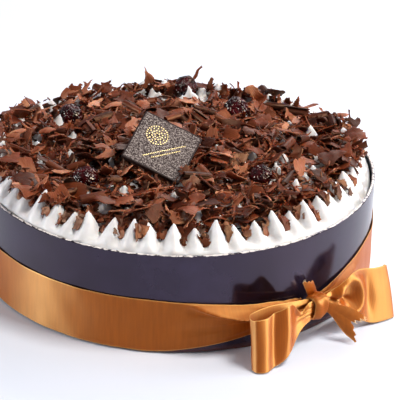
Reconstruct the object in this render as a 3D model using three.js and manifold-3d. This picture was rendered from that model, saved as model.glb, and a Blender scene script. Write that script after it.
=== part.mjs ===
// A round black forest cake: a sponge drum inside a dark chocolate collar, whipped cream piped in
// peaks round the rim, a heap of chocolate shavings with cherries and a square plaque, and a satin
// ribbon tied in a bow. Millimetres, +Z up. The origin is the centre of the cake's underside, and
// the cake's front faces -Y.
import * as THREE from "three";
import { mergeVertices } from "three/addons/utils/BufferGeometryUtils.js";
import Module from "manifold-3d";

const wasm = await Module();
wasm.setup();

// Driving dimensions.
const COLLAR_RADIUS = 137.5;
const COLLAR_HEIGHT = 71.3;
const COLLAR_WALL = 2;
const COLLAR_FOOT = 0.5; // the collar hangs on the cake, just clear of the table
const GAP = 0.3; // between pieces that touch
const TURN_STEPS = 72; // facets of a full turn

// Sponge and cream.
const INNER_RADIUS = COLLAR_RADIUS - COLLAR_WALL - GAP - 0.1;
const SPONGE_TOP = 58.8;
const CREAM_BED = COLLAR_HEIGHT + 0.5; // the flat top of the cream inside the piped ring
const PEAK_COUNT = 56;
const PEAK_RADIUS = 123.4; // from the cake's axis to the middle of a peak's foot
const PEAK_DEPTH = 11.4; // half the foot, measured along the radius
const PEAK_WIDTH = 7.9; // half the foot, measured round the rim
const PEAK_HEIGHT = 17;
const PEAK_LEAN = 5; // how far a tip leans in over the heap
const PEAK_SINK = 2.5; // the foot is sunk in the cream bed
const PEAK_LOSS = 0.4; // share of its height that a peak behind the cake lacks
const BEHIND = [106, 132]; // degrees from the front between which the rim gets lower

// Heap of shavings.
const HEAP_FLOOR = CREAM_BED + GAP;
const HEAP_RADIUS = 109;
const HEAP_EDGE = 13; // height of the heap's core just inside its edge
const HEAP_EDGE_BEHIND = 8; // the same behind the cake
const HEAP_CROWN = 23; // height of the core at the middle
const EDGE_LIP = 5; // height of the core at its very edge
const SEAT_WIDTH = 11; // how wide the core rises under a cherry
const FLAKE_COUNT = 130;
const FLAKE_THICKNESS = 1.3;
const FLAKE_CLEARANCE = 0.35;
const FLAKE_REACH = 117; // no flake's middle lies further out
const FLAKE_PROUD = 13; // how far a flake's tip may stand above the core
const EDGE_START = 92; // from here out the flakes begin to climb onto the peaks
const TRIES_EACH = 26; // places tried for each flake before it is left out

// Cherries sit in a loose ring: angle from the front (towards +X), distance from the cake's axis,
// height of the middle above the rim, and the cherry's own radius.
const CHERRIES = [
  { angle: -123.5, distance: 93.5, lift: 10.5, radius: 8.6 },
  { angle: -47, distance: 82.6, lift: 13.5, radius: 8.8 },
  { angle: 51.7, distance: 72.6, lift: 13.5, radius: 8.2 },
  { angle: 150, distance: 82, lift: 10.5, radius: 9.3 },
  { angle: 178, distance: 102, lift: 14, radius: 8.4 },
];

// Plaque: a square leaning back on the heap, named by its middle, its facing and its turn.
const PLAQUE_SIDE = 43;
const PLAQUE_THICKNESS = 3;
const PLAQUE_MIDDLE = new THREE.Vector3(-10.1, -34.3, COLLAR_HEIGHT + 27);
const PLAQUE_FACING = new THREE.Vector3(0.235, -0.486, 0.842).normalize();
const PLAQUE_EDGE = new THREE.Vector3(0.907, -0.2, -0.37); // along its upper edge

// Ribbon and bow. The bow's own frame: across runs along the collar, out points away from the cake.
const RIBBON_WIDTH = 38;
const RIBBON_THICKNESS = 0.6;
const RIBBON_RADIUS = COLLAR_RADIUS + 0.5;
const RIBBON_FOOT = 1.2;
const BOW_ANGLE = THREE.MathUtils.degToRad(40);
const KNOT = { width: 14, height: 16, depth: 10, out: 148, up: 24.8 };
const GATHERED = 12.5; // the ribbon's height where the knot grips it
const BOW_ACROSS = new THREE.Vector3(Math.cos(BOW_ANGLE), Math.sin(BOW_ANGLE), 0);
const BOW_OUT = new THREE.Vector3(Math.sin(BOW_ANGLE), -Math.cos(BOW_ANGLE), 0);

const { lerp, smoothstep, clamp, degToRad, radToDeg } = THREE.MathUtils;

// Repeatable random numbers from 0 to 1.
function randomFrom(seed) {
  let state = seed;
  return () => {
    state = (state + 0x6d2b79f5) | 0;
    let mixed = Math.imul(state ^ (state >>> 15), 1 | state);
    mixed = (mixed + Math.imul(mixed ^ (mixed >>> 7), 61 | mixed)) ^ mixed;
    return ((mixed ^ (mixed >>> 14)) >>> 0) / 4294967296;
  };
}

// Solids: a closed geometry in, a boolean solid out, and back again.
function solidOf(geometry) {
  const bare = geometry.clone();
  bare.deleteAttribute("normal");
  bare.deleteAttribute("uv");
  const merged = mergeVertices(bare, 1e-4);
  const vertProperties = Float32Array.from(merged.attributes.position.array);
  const triVerts = Uint32Array.from(merged.index.array);
  return new wasm.Manifold(new wasm.Mesh({ numProp: 3, vertProperties, triVerts }));
}

function geometryOf(solid) {
  const mesh = solid.getMesh();
  const positions = new THREE.BufferAttribute(mesh.vertProperties, 3);
  const geometry = new THREE.BufferGeometry().setAttribute("position", positions);
  geometry.setIndex(new THREE.BufferAttribute(mesh.triVerts, 1));
  geometry.computeVertexNormals();
  return geometry;
}

// The largest outer body: loose scraps are dropped and sealed hollows are filled.
function mainBody(solid) {
  return solid.decompose().sort((a, b) => b.volume() - a.volume())[0];
}

// A profile of [radius, height] pairs turned about the Z axis.
function turned(profile, steps = TURN_STEPS) {
  const points = profile.map(([radius, height]) => new THREE.Vector2(radius, height));
  return new THREE.LatheGeometry(points, steps).rotateX(Math.PI / 2);
}

// A box bent onto a surface: surface(u, v) gives the middle of the sheet for u and v from 0 to 1.
function bentStrip(surface, alongSteps, acrossSteps, thickness = RIBBON_THICKNESS) {
  const geometry = new THREE.BoxGeometry(1, 1, 1, alongSteps, acrossSteps, 1);
  const at = geometry.attributes.position;
  const nudge = 1e-3;
  for (let i = 0; i < at.count; i++) {
    const u = at.getX(i) + 0.5;
    const v = at.getY(i) + 0.5;
    const along = surface(u + nudge, v).sub(surface(u - nudge, v));
    const across = surface(u, v + nudge).sub(surface(u, v - nudge));
    const normal = along.cross(across).normalize();
    const point = surface(u, v).addScaledVector(normal, at.getZ(i) * thickness);
    at.setXYZ(i, point.x, point.y, point.z);
  }
  return geometry;
}

function fromBow(across, out, up) {
  const flat = BOW_ACROSS.clone().multiplyScalar(across).addScaledVector(BOW_OUT, out);
  return flat.setZ(up);
}

// How far a place lies round the back: 0 at the front and sides, 1 behind.
function behindShare(x, y) {
  const fromFront = Math.abs(radToDeg(Math.atan2(x, -y)));
  return smoothstep(fromFront, BEHIND[0], BEHIND[1]);
}

function material(color, roughness, metalness = 0) {
  return new THREE.MeshStandardMaterial({ color, roughness, metalness });
}

const SPONGE = material(0x4a2a1a, 0.9);
const DARK_CHOCOLATE = material(0x2b2430, 0.18);
const WHIPPED_CREAM = material(0xf7f3ea, 0.55);
const SHAVED_CHOCOLATE = material(0x7a4a33, 0.6);
const GLAZED_CHERRY = material(0x3a0910, 0.12);
const PLAQUE_CHOCOLATE = material(0x4a4040, 0.45);
const GOLD_SATIN = material(0xc07d34, 0.38);

function piece(name, geometry, look) {
  const mesh = new THREE.Mesh(geometry, look);
  mesh.name = name;
  return mesh;
}

// The uncut sponge, hidden by the collar and the cream.
function spongeDrum() {
  return turned([
    [0, 0],
    [INNER_RADIUS, 0],
    [INNER_RADIUS, SPONGE_TOP],
    [0, SPONGE_TOP],
  ]);
}

function chocolateCollar() {
  const inner = COLLAR_RADIUS - COLLAR_WALL;
  return turned([
    [inner, COLLAR_FOOT],
    [COLLAR_RADIUS, COLLAR_FOOT],
    [COLLAR_RADIUS, COLLAR_HEIGHT],
    [inner, COLLAR_HEIGHT],
    [inner, COLLAR_FOOT],
  ]);
}

// One piped peak: a pointed drop, wider along the radius, whose tip leans in and a little sideways.
function creamPeak(angle, height, leanIn, leanAside, width) {
  const drop = turned([
    [0, 0],
    [0.98, 0],
    [0.9, 0.32],
    [0.46, 0.7],
    [0, 1],
  ], 7);
  drop.scale(PEAK_DEPTH, width, height + PEAK_SINK);
  const rise = height + PEAK_SINK;
  const shear = new THREE.Matrix4().makeShear(0, 0, 0, 0, -leanIn / rise, leanAside / rise);
  drop.applyMatrix4(shear);
  drop.translate(PEAK_RADIUS, 0, CREAM_BED - PEAK_SINK);
  return drop.rotateZ(angle - Math.PI / 2);
}

function whippedCream() {
  const random = randomFrom(11);
  const bed = turned([
    [0, SPONGE_TOP + GAP],
    [INNER_RADIUS, SPONGE_TOP + GAP],
    [INNER_RADIUS, CREAM_BED - 3],
    [INNER_RADIUS - 3, CREAM_BED],
    [0, CREAM_BED],
  ]);
  let cream = solidOf(bed);
  for (let i = 0; i < PEAK_COUNT; i++) {
    const angle = ((i + 0.25 * (random() - 0.5)) / PEAK_COUNT) * 2 * Math.PI;
    const sunk = 1 - PEAK_LOSS * behindShare(Math.sin(angle), -Math.cos(angle));
    const height = PEAK_HEIGHT * (0.84 + 0.32 * random()) * sunk;
    const leanIn = PEAK_LEAN * (0.6 + 0.8 * random());
    const leanAside = 3 * (random() - 0.5);
    const width = PEAK_WIDTH * (0.92 + 0.16 * random());
    cream = cream.add(solidOf(creamPeak(angle, height, leanIn, leanAside, width)));
  }
  return mainBody(cream);
}

function cherryMiddle({ angle, distance, lift }) {
  const turn = degToRad(angle);
  const flat = new THREE.Vector3(Math.sin(turn), -Math.cos(turn), 0);
  return flat.multiplyScalar(distance).setZ(COLLAR_HEIGHT + lift);
}

// A cherry, slightly flattened, with the dimple where its stalk was turned to one side.
function cherry(place, index, grow = 0) {
  const fruit = new THREE.SphereGeometry(place.radius + grow, 10, 7).rotateX(Math.PI / 2);
  fruit.scale(1, 0.96, 0.9).rotateZ(index * 1.3).rotateX(0.3);
  const middle = cherryMiddle(place);
  return fruit.translate(middle.x, middle.y, middle.z);
}

// The plaque in its own plane: x along its upper edge, z along its facing.
function plaque(grow = 0) {
  const half = PLAQUE_SIDE / 2 + grow;
  const outline = new THREE.Shape([
    new THREE.Vector2(-half, -half),
    new THREE.Vector2(half, -half),
    new THREE.Vector2(half, half),
    new THREE.Vector2(-half, half),
  ]);
  const depth = PLAQUE_THICKNESS + 2 * grow;
  const slab = new THREE.ExtrudeGeometry(outline, { depth, bevelEnabled: false });
  slab.translate(0, 0, -depth / 2);
  const aside = new THREE.Vector3().crossVectors(PLAQUE_FACING, PLAQUE_EDGE).normalize();
  const edge = new THREE.Vector3().crossVectors(aside, PLAQUE_FACING);
  slab.applyMatrix4(new THREE.Matrix4().makeBasis(edge, aside, PLAQUE_FACING));
  return slab.translate(PLAQUE_MIDDLE.x, PLAQUE_MIDDLE.y, PLAQUE_MIDDLE.z);
}

function heapEdge(x, y) {
  return lerp(HEAP_EDGE, HEAP_EDGE_BEHIND, behindShare(x, y));
}

// Height of the heap's core above the cream bed, without its swells.
function heapHeight(x, y) {
  const share = clamp(Math.hypot(x, y) / HEAP_RADIUS, 0, 1);
  return lerp(HEAP_CROWN, heapEdge(x, y), smoothstep(share, 0, 0.92)) * Math.sqrt(1 - share ** 10);
}

// The core swells behind the plaque and dips in front of it.
function plaqueSwell(x, y) {
  const back = Math.hypot(x - PLAQUE_MIDDLE.x + 9, y - PLAQUE_MIDDLE.y - 14);
  const front = Math.hypot(x - PLAQUE_MIDDLE.x - 12, y - PLAQUE_MIDDLE.y + 28);
  return 9 * Math.exp(-((back / 20) ** 2)) - 6 * Math.exp(-((front / 17) ** 2));
}

// The core rises under each cherry, so that the cherry sits in it.
function cherrySeat(x, y, height) {
  return CHERRIES.reduce((seat, place) => {
    const middle = cherryMiddle(place);
    const away = Math.hypot(x - middle.x, y - middle.y);
    const wanted = middle.z - HEAP_FLOOR - 0.45 * place.radius;
    return Math.max(seat, lerp(height, wanted, Math.exp(-((away / SEAT_WIDTH) ** 2))));
  }, height);
}

// The bare core: a low mound with an uneven top and edge.
function heapCore() {
  const shares = [1, 0.92, 0.84, 0.72, 0.58, 0.42, 0.28, 0.14, 0];
  const top = shares.map((share) => [share * HEAP_RADIUS, EDGE_LIP + 1]);
  top[0][1] = EDGE_LIP;
  const mound = turned([[0, 0], [HEAP_RADIUS * 0.95, 0], ...top], 36);
  const at = mound.attributes.position;
  for (let i = 0; i < at.count; i++) {
    const x = at.getX(i);
    const y = at.getY(i);
    const z = at.getZ(i);
    const ripple = Math.sin(x * 0.13 + 1) * Math.cos(y * 0.15) + Math.sin((x - y) * 0.07);
    const swell = 1 + 0.006 * Math.sin(7 * Math.atan2(y, x));
    const height = heapHeight(x, y) + 0.9 * ripple + plaqueSwell(x, y);
    const up = z > EDGE_LIP ? cherrySeat(x, y, height) : z;
    at.setXYZ(i, x * swell, y * swell, up + HEAP_FLOOR);
  }
  return mound;
}

// A broken shaving: an uneven flat outline, bent along its length.
function flake({ length, width, curl, corners, ragged }, grow = 0) {
  const outline = ragged.slice(0, corners).map((uneven, i) => {
    const turn = ((i + 0.5 * (uneven - 0.5)) / corners) * 2 * Math.PI;
    const reach = 0.78 + 0.44 * uneven;
    const halfLength = (length / 2) * reach + grow;
    const halfWidth = (width / 2) * reach + grow;
    return new THREE.Vector2(halfLength * Math.cos(turn), halfWidth * Math.sin(turn));
  });
  const depth = FLAKE_THICKNESS + 2 * grow;
  const plate = new THREE.ExtrudeGeometry(new THREE.Shape(outline), { depth, bevelEnabled: false });
  const at = plate.attributes.position;
  for (let i = 0; i < at.count; i++) {
    const x = at.getX(i);
    at.setZ(i, at.getZ(i) - depth / 2 - curl * x * x);
  }
  return plate;
}

// Flakes lie every way in the middle. Round the edge they point outwards and rest on the peaks.
function flakeDraw(random, place) {
  const large = random() < 0.45;
  const edge = smoothstep(place.radius, EDGE_START, EDGE_START + 12);
  return {
    length: large ? lerp(19, 28, random()) : lerp(13, 19, random()),
    width: large ? lerp(12, 18, random()) : lerp(8, 12, random()),
    curl: lerp(-0.004, 0.02, random()),
    corners: large ? 6 : 5,
    ragged: Array.from({ length: 6 }, random),
    yaw: place.angle + lerp(-1.5, 1.5, random()) * (1 - 0.3 * edge),
    pitch: lerp(-0.95, 0.75 - 0.5 * edge, random()),
    roll: lerp(-0.9, 0.9, random()) * (1 - 0.3 * edge),
    lift: lerp(1, 5.5, random()) + lerp(-1, 6.5, random()) * edge,
    slide: lerp(-4, 4, random()) - 2 * edge,
  };
}

// Where a flake's middle goes, and the top of the core there.
function flakeSpot(draw, place) {
  const radius = place.radius + draw.slide;
  const x = radius * Math.cos(place.angle);
  const y = radius * Math.sin(place.angle);
  const height = Math.max(heapHeight(x, y), heapEdge(x, y)) + plaqueSwell(x, y);
  return { x, y, core: HEAP_FLOOR + height };
}

function placedFlake(draw, place, grow = 0) {
  const plate = flake(draw, grow).rotateX(draw.roll).rotateY(draw.pitch).rotateZ(draw.yaw);
  const { x, y, core } = flakeSpot(draw, place);
  return plate.translate(x, y, core + draw.lift);
}

// The heap: its core with sockets for the plaque and cherries, and the flakes that miss the rest.
function shavingHeap(cream, others) {
  const random = randomFrom(47);
  const neighbours = others.reduce((joined, other) => joined.add(other), cream);
  let heap = solidOf(heapCore());
  heap = heap.subtract(solidOf(plaque(GAP)));
  CHERRIES.forEach((place, i) => {
    heap = heap.subtract(solidOf(cherry(place, i, GAP)));
  });
  const goldenTurn = Math.PI * (3 - Math.sqrt(5));
  for (let i = 0; i < FLAKE_COUNT; i++) {
    const place = {
      radius: FLAKE_REACH * Math.sqrt((i + 0.5) / FLAKE_COUNT),
      angle: i * goldenTurn,
    };
    for (let tries = 0; tries < TRIES_EACH; tries++) {
      const draw = flakeDraw(random, place);
      const room = solidOf(placedFlake(draw, place, FLAKE_CLEARANCE));
      if (room.intersect(neighbours).volume() > 0) continue;
      const plate = solidOf(placedFlake(draw, place));
      if (plate.boundingBox().max[2] > flakeSpot(draw, place).core + FLAKE_PROUD) continue;
      if (plate.intersect(heap).volume() < 2) continue;
      heap = heap.add(plate);
      break;
    }
  }
  return mainBody(heap);
}

// The ribbon round the collar. It narrows and stands off in folds as it nears the knot on each side.
const LEFT_GATHER = degToRad(44);
const RIGHT_GATHER = degToRad(28);
const LEFT_FOLD = 5; // how far the fold on the left stands off the collar
const RIGHT_FOLD = 3;
const BAND_EASE = 0.55; // the steps along the band shorten towards the knot

function bandSurface(u, v) {
  const knotHalf = (KNOT.width / 2 + GAP) / KNOT.out + 0.012;
  const eased = u - (BAND_EASE * Math.sin(2 * Math.PI * u)) / (2 * Math.PI);
  const turn = lerp(BOW_ANGLE + knotHalf, BOW_ANGLE + 2 * Math.PI - knotHalf, eased);
  const fromRight = 1 - (turn - BOW_ANGLE - knotHalf) / RIGHT_GATHER;
  const fromLeft = 1 - (BOW_ANGLE + 2 * Math.PI - knotHalf - turn) / LEFT_GATHER;
  const right = clamp(fromRight, 0, 1);
  const left = clamp(fromLeft, 0, 1);
  const pull = Math.max(right, left);
  const foot = lerp(RIBBON_FOOT, KNOT.up - GATHERED / 2, Math.max(right ** 0.9, left ** 1.5));
  const head = lerp(RIBBON_FOOT + RIBBON_WIDTH, KNOT.up + GATHERED / 2, pull ** 1.7);
  const crease = lerp(1.0, 0.48, smoothstep(left, 0.3, 0.7));
  const stand = v < crease ? v / crease : (1 - v) / (1 - crease + 1e-3);
  const leftFold = LEFT_FOLD * smoothstep(left, 0.25, 0.75) * clamp(stand, 0, 1);
  const rightFold = RIGHT_FOLD * Math.sin(Math.PI * right) * Math.sin(Math.PI * v);
  const radius = RIBBON_RADIUS + RIBBON_THICKNESS / 2 + leftFold + rightFold + 1.4 * pull ** 3;
  const point = new THREE.Vector3(Math.sin(turn), -Math.cos(turn), 0).multiplyScalar(radius);
  return point.setZ(lerp(foot, head, v));
}

// A bow loop, as a teardrop seen from above: out along the front, round the tip and back behind.
// Splay is how far its lower edge stands forward, which makes a loop lower than the ribbon is wide.
const LOOPS = {
  left: { side: -1, reach: 55, belly: 6.5, tip: 0.22, swing: 1, lean: 1.5, height: 34, splay: 8.3 },
  right: { side: 1, reach: 59, belly: 5.5, tip: 0.14, swing: 8, lean: 1, height: 37.5, splay: 0 },
};
const LOOP_FOOT = 0.8; // the lowest edge of a loop, just clear of the table

function loopSurface({ side, reach, belly, tip, swing, lean, height, splay }) {
  return (u, v) => {
    const way = Math.abs(2 * u - 1); // 1 at the knot, 0 at the tip
    const front = (u < 0.5 ? 1 : -1) * side;
    const along = 1 - way ** 2.2;
    const start = KNOT.width / 2 + GAP + 0.1;
    const gape = belly * (1 - Math.exp(-way / tip)) * (1 - way ** 3) + 1.5 * way;
    const spread = smoothstep(along, 0, 0.72);
    const half = lerp(GATHERED / 2, height / 2, spread);
    const middle = lerp(KNOT.up, LOOP_FOOT + height / 2, spread);
    const out = KNOT.out + swing * along + front * side * gape + lean * (0.5 - v) * spread;
    const across = side * lerp(start, reach, along);
    const point = fromBow(across, out, middle + (2 * v - 1) * half);
    return point.setY(point.y - splay * (1 - v) * spread);
  };
}

// The knot: a short wrap of ribbon, rounded at its corners and narrower at its foot.
function bowKnot() {
  const halfWidth = KNOT.width / 2;
  const halfDepth = KNOT.depth / 2;
  const corner = 3;
  const outline = new THREE.Shape();
  outline.moveTo(-halfWidth + corner, -halfDepth);
  outline.lineTo(halfWidth - corner, -halfDepth);
  outline.quadraticCurveTo(halfWidth, -halfDepth, halfWidth, -halfDepth + corner);
  outline.lineTo(halfWidth, halfDepth - corner);
  outline.quadraticCurveTo(halfWidth, halfDepth, halfWidth - corner, halfDepth);
  outline.lineTo(-halfWidth + corner, halfDepth);
  outline.quadraticCurveTo(-halfWidth, halfDepth, -halfWidth, halfDepth - corner);
  outline.lineTo(-halfWidth, -halfDepth + corner);
  outline.quadraticCurveTo(-halfWidth, -halfDepth, -halfWidth + corner, -halfDepth);
  const wrap = new THREE.ExtrudeGeometry(outline, {
    depth: KNOT.height,
    steps: 4,
    curveSegments: 3,
    bevelEnabled: false,
  });
  const at = wrap.attributes.position;
  for (let i = 0; i < at.count; i++) {
    const rise = at.getZ(i) / KNOT.height;
    const waist = 1 - 0.16 * (2 * rise - 1) ** 2;
    const up = KNOT.up + KNOT.height * (rise - 0.5) + 0.12 * at.getX(i);
    const point = fromBow(at.getX(i) * waist, KNOT.out - at.getY(i) * waist, up);
    at.setXYZ(i, point.x, point.y, point.z);
  }
  return wrap;
}

// The short end that stands up behind the knot, against the collar.
function upperTail(u, v) {
  const width = lerp(5.5, 9, u);
  const across = lerp(4, -2.5, u) + (v - 0.5) * width;
  const out = lerp(141.6, 143, u) - 1.2 * (2 * v - 1) ** 2 * u;
  return fromBow(across, out, lerp(26.8, 44.3, u) - (v - 0.5) * 2 * u);
}

// The long end: folded lengthwise, it droops forward from the knot and is cut to a swallowtail.
const SIDE_TAIL = {
  start: new THREE.Vector3(KNOT.width / 2 + GAP + 0.2, 152.2, 23.8),
  end: new THREE.Vector3(20.5, 174.1, 9.5),
  upperPanel: new THREE.Vector3(2.5, -3.5, 9),
  lowerPanel: new THREE.Vector3(-2, -4, -8),
  notch: 0.25,
};

function sideTail(u, v) {
  const fromFold = 2 * v - 1;
  const along = u * (1 - SIDE_TAIL.notch * (1 - Math.abs(fromFold)));
  const spine = new THREE.Vector3().lerpVectors(SIDE_TAIL.start, SIDE_TAIL.end, along);
  spine.z += 4 * along * (1 - along);
  const panel = fromFold > 0 ? SIDE_TAIL.upperPanel : SIDE_TAIL.lowerPanel;
  const spread = lerp(0.35, 1, smoothstep(along, 0, 0.8));
  spine.addScaledVector(panel, Math.abs(fromFold) * spread);
  return fromBow(spine.x, spine.y, spine.z);
}

const cream = whippedCream();
const toppings = [solidOf(plaque()), ...CHERRIES.map((place, i) => solidOf(cherry(place, i)))];

const cake = new THREE.Group();
cake.name = "black_forest_cake";
cake.add(piece("sponge_drum", spongeDrum(), SPONGE));
cake.add(piece("chocolate_collar", chocolateCollar(), DARK_CHOCOLATE));
cake.add(piece("whipped_cream", geometryOf(cream), WHIPPED_CREAM));
cake.add(piece("chocolate_shavings", geometryOf(shavingHeap(cream, toppings)), SHAVED_CHOCOLATE));
CHERRIES.forEach((place, i) => {
  cake.add(piece(`cherry_${i + 1}`, cherry(place, i), GLAZED_CHERRY));
});
cake.add(piece("chocolate_plaque", plaque(), PLAQUE_CHOCOLATE));
cake.add(piece("ribbon_band", bentStrip(bandSurface, 60, 4), GOLD_SATIN));
cake.add(piece("bow_loop_left", bentStrip(loopSurface(LOOPS.left), 20, 4), GOLD_SATIN));
cake.add(piece("bow_loop_right", bentStrip(loopSurface(LOOPS.right), 20, 4), GOLD_SATIN));
cake.add(piece("bow_knot", bowKnot(), GOLD_SATIN));
cake.add(piece("bow_tail_up", bentStrip(upperTail, 6, 4), GOLD_SATIN));
cake.add(piece("bow_tail_side", bentStrip(sideTail, 7, 4), GOLD_SATIN));

export default cake;
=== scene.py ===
"""Black forest cake with a chocolate collar, piped cream, shavings, cherries and a satin bow.

Every piece is modelled in millimetres and scaled to metres when it is finished. The origin is the
centre of the cake's underside, +Z is up and the cake's front faces -Y.
"""

import logging
import math
from collections.abc import Callable
from dataclasses import dataclass, field, replace
from enum import Enum

import bmesh
import bpy
import numpy as np
from mathutils import Matrix, Vector, noise


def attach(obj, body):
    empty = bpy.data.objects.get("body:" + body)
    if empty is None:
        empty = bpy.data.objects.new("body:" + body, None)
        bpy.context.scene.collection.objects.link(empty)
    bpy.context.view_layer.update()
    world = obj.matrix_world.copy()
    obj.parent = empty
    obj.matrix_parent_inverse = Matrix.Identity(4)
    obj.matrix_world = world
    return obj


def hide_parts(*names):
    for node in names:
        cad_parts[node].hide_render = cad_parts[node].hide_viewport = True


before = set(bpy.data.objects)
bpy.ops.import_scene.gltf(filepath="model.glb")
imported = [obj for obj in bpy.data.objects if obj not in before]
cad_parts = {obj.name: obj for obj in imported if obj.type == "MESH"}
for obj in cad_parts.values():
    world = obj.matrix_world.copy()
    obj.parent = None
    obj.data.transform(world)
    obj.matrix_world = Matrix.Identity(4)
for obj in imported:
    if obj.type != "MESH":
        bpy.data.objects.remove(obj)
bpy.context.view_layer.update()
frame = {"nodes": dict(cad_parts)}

LOG = logging.getLogger("cake")

MM = 0.001
RIM = 71.3  # height of the collar's rim
COLLAR_RADIUS = 137.5
INNER_RADIUS = 135.1  # cream and sponge inside the collar
RIM_PEAKS = 56

Array = np.ndarray
Shape = bmesh.types.BMesh
Piece = bpy.types.Object
Tree = bpy.types.NodeTree
Socket = bpy.types.NodeSocket
Surface = Callable[[float, float], Vector]
Span = tuple[float, float]


# Small maths.


def mix(low: float, high: float, share: float) -> float:
    """Return the value a share of the way from low to high."""
    return low + (high - low) * share


def clamp(value: float, low: float = 0.0, high: float = 1.0) -> float:
    """Return value kept between low and high."""
    return max(low, min(high, value))


def smooth(value: float, low: float = 0.0, high: float = 1.0) -> float:
    """Return 0 below low, 1 above high, and an eased value between them."""
    share = clamp((value - low) / (high - low))
    return share * share * (3 - 2 * share)


def bump(value: float, middle: float, width: float) -> float:
    """Return a bell curve of height 1 about middle."""
    return math.exp(-(((value - middle) / width) ** 2))


def polar(turn: float, radius: float, height: float) -> Vector:
    """Return a point of the cake.

    Args:
        turn: Angle in radians from the cake's front, counted towards +X.
        radius: Distance from the cake's axis.
        height: Height above the table.
    """
    return Vector((radius * math.sin(turn), -radius * math.cos(turn), height))


def turn_of(x: float, y: float) -> float:
    """Return a place's angle in radians from the cake's front, counted towards +X."""
    return math.atan2(x, -y)


def behind(turn: float) -> float:
    """Return 0 for an angle at the cake's front or sides, and 1 at its back."""
    return smooth(abs(math.degrees(turn)), 105, 132)


class CakeRandom:
    """Repeatable random numbers from 0 to 1, the same stream as the solids use."""

    def __init__(self, seed: int) -> None:
        """Start the stream from any whole number."""
        self.state = seed

    def __call__(self) -> float:
        """Return the next number."""
        mask = 0xFFFFFFFF
        self.state = (self.state + 0x6D2B79F5) & mask
        mixed = ((self.state ^ (self.state >> 15)) * (1 | self.state)) & mask
        mixed ^= (mixed + ((mixed ^ (mixed >> 7)) * (61 | mixed))) & mask
        return ((mixed ^ (mixed >> 14)) & mask) / 4294967296


# Nodes and finishes.


def linear(colour: str) -> tuple[float, float, float, float]:
    """Turn an sRGB hex colour, such as "C08040", into linear RGBA."""
    parts = [int(colour[i : i + 2], 16) / 255 for i in (0, 2, 4)]
    rgb = [c / 12.92 if c <= 0.04045 else ((c + 0.055) / 1.055) ** 2.4 for c in parts]
    return (rgb[0], rgb[1], rgb[2], 1.0)


def fill(tree: Tree, node: bpy.types.Node, settings: dict[str | int, object]) -> None:
    """Set a node's values, and link the inputs that other nodes feed.

    Args:
        tree: The material's node tree.
        node: The node.
        settings: Values or sockets by input name or number, or by the node's own property. "stops"
            holds a ramp's (position, hex colour) pairs.
    """
    for key, value in settings.items():
        if key == "stops":
            elements = node.color_ramp.elements
            while len(elements) < len(value):
                elements.new(1.0)
            for element, (position, colour) in zip(elements, value):
                element.position = position
                element.color = linear(colour)
        elif isinstance(value, Socket):
            tree.links.new(value, node.inputs[key])
        elif isinstance(key, int) or key in node.inputs:
            node.inputs[key].default_value = value
        else:
            setattr(node, key, value)


def add_node(tree: Tree, kind: str, settings: dict[str | int, object], result: str | int = 0) -> Socket:
    """Add a node with its settings and links.

    Args:
        tree: The material's node tree.
        kind: The node's class name without its "ShaderNode".
        settings: As for fill.
        result: The wanted output's name or number.

    Returns:
        That output.
    """
    node = tree.nodes.new(f"ShaderNode{kind}")
    fill(tree, node, settings)
    return node.outputs[result]


def grain(tree: Tree, at: Socket, size_mm: float, detail: float, roughness: float = 0.5) -> Socket:
    """Return a noise pattern whose grains have a real size.

    Args:
        tree: The material's node tree.
        at: The place that the pattern is read at, in metres.
        size_mm: The grains' size.
        detail: How many finer layers it has.
        roughness: How strong these are.
    """
    settings = {"Vector": at, "Scale": 1 / (size_mm * MM), "Detail": detail, "Roughness": roughness}
    return add_node(tree, "TexNoise", settings, "Fac")


def drawn_out(tree: Tree, at: Socket, size_mm: Span, roughness: float = 0.5) -> Socket:
    """Return a noise pattern whose grains are drawn out along a sheet.

    Args:
        tree: The material's node tree.
        at: The place on the flat sheet, in metres.
        size_mm: The grains' size along the sheet and across it.
        roughness: How strong their finer layers are.
    """
    scale = (1 / (size_mm[0] * MM), 1 / (size_mm[1] * MM), 1.0)
    stretched = add_node(tree, "Mapping", {"Vector": at, "Scale": scale})
    return grain(tree, stretched, 1 / MM, 3.0, roughness)


def ramp(tree: Tree, value: Socket, *stops: tuple[float, str]) -> Socket:
    """Return the colour for a value between (position, hex colour) stops."""
    return add_node(tree, "ValToRGB", {"Fac": value, "stops": stops})


def ranged(tree: Tree, value: Socket, span: Span, to: Span = (0.0, 1.0)) -> Socket:
    """Return a value brought from one span to another and kept inside it.

    Args:
        tree: The material's node tree.
        value: The value.
        span: The span that it's read from.
        to: The span that it's brought to.
    """
    ends = {"From Min": span[0], "From Max": span[1], "To Min": to[0], "To Max": to[1]}
    return add_node(tree, "MapRange", {"Value": value} | ends)


def reckon(tree: Tree, operation: str, *terms: Socket | float, kept: bool = False) -> Socket:
    """Return the result of an operation on sockets and numbers, kept from 0 to 1 if asked."""
    settings = {"operation": operation, "use_clamp": kept}
    return add_node(tree, "Math", settings | dict(enumerate(terms)))


def overlaid(tree: Tree, base: Socket, colour: str, share: Socket) -> Socket:
    """Return a base colour with another laid over it.

    Args:
        tree: The material's node tree.
        base: The colour underneath.
        colour: The colour on top, in hex.
        share: How much of that shows.
    """
    return add_node(tree, "Mix", {"data_type": "RGBA", 0: share, 6: base, 7: linear(colour)}, 2)


def emboss(tree: Tree, height: Socket, strength: float, depth_mm: float) -> Socket:
    """Return the surface's direction over a fine relief.

    Args:
        tree: The material's node tree.
        height: The relief's height, from 0 to 1.
        strength: How strongly it turns the light.
        depth_mm: Its real depth.
    """
    return add_node(tree, "Bump", {"Height": height, "Strength": strength, "Distance": depth_mm * MM})


def body(tree: Tree) -> Socket:
    """Return the place on the piece, in metres."""
    return add_node(tree, "TexCoord", {}, "Object")


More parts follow.
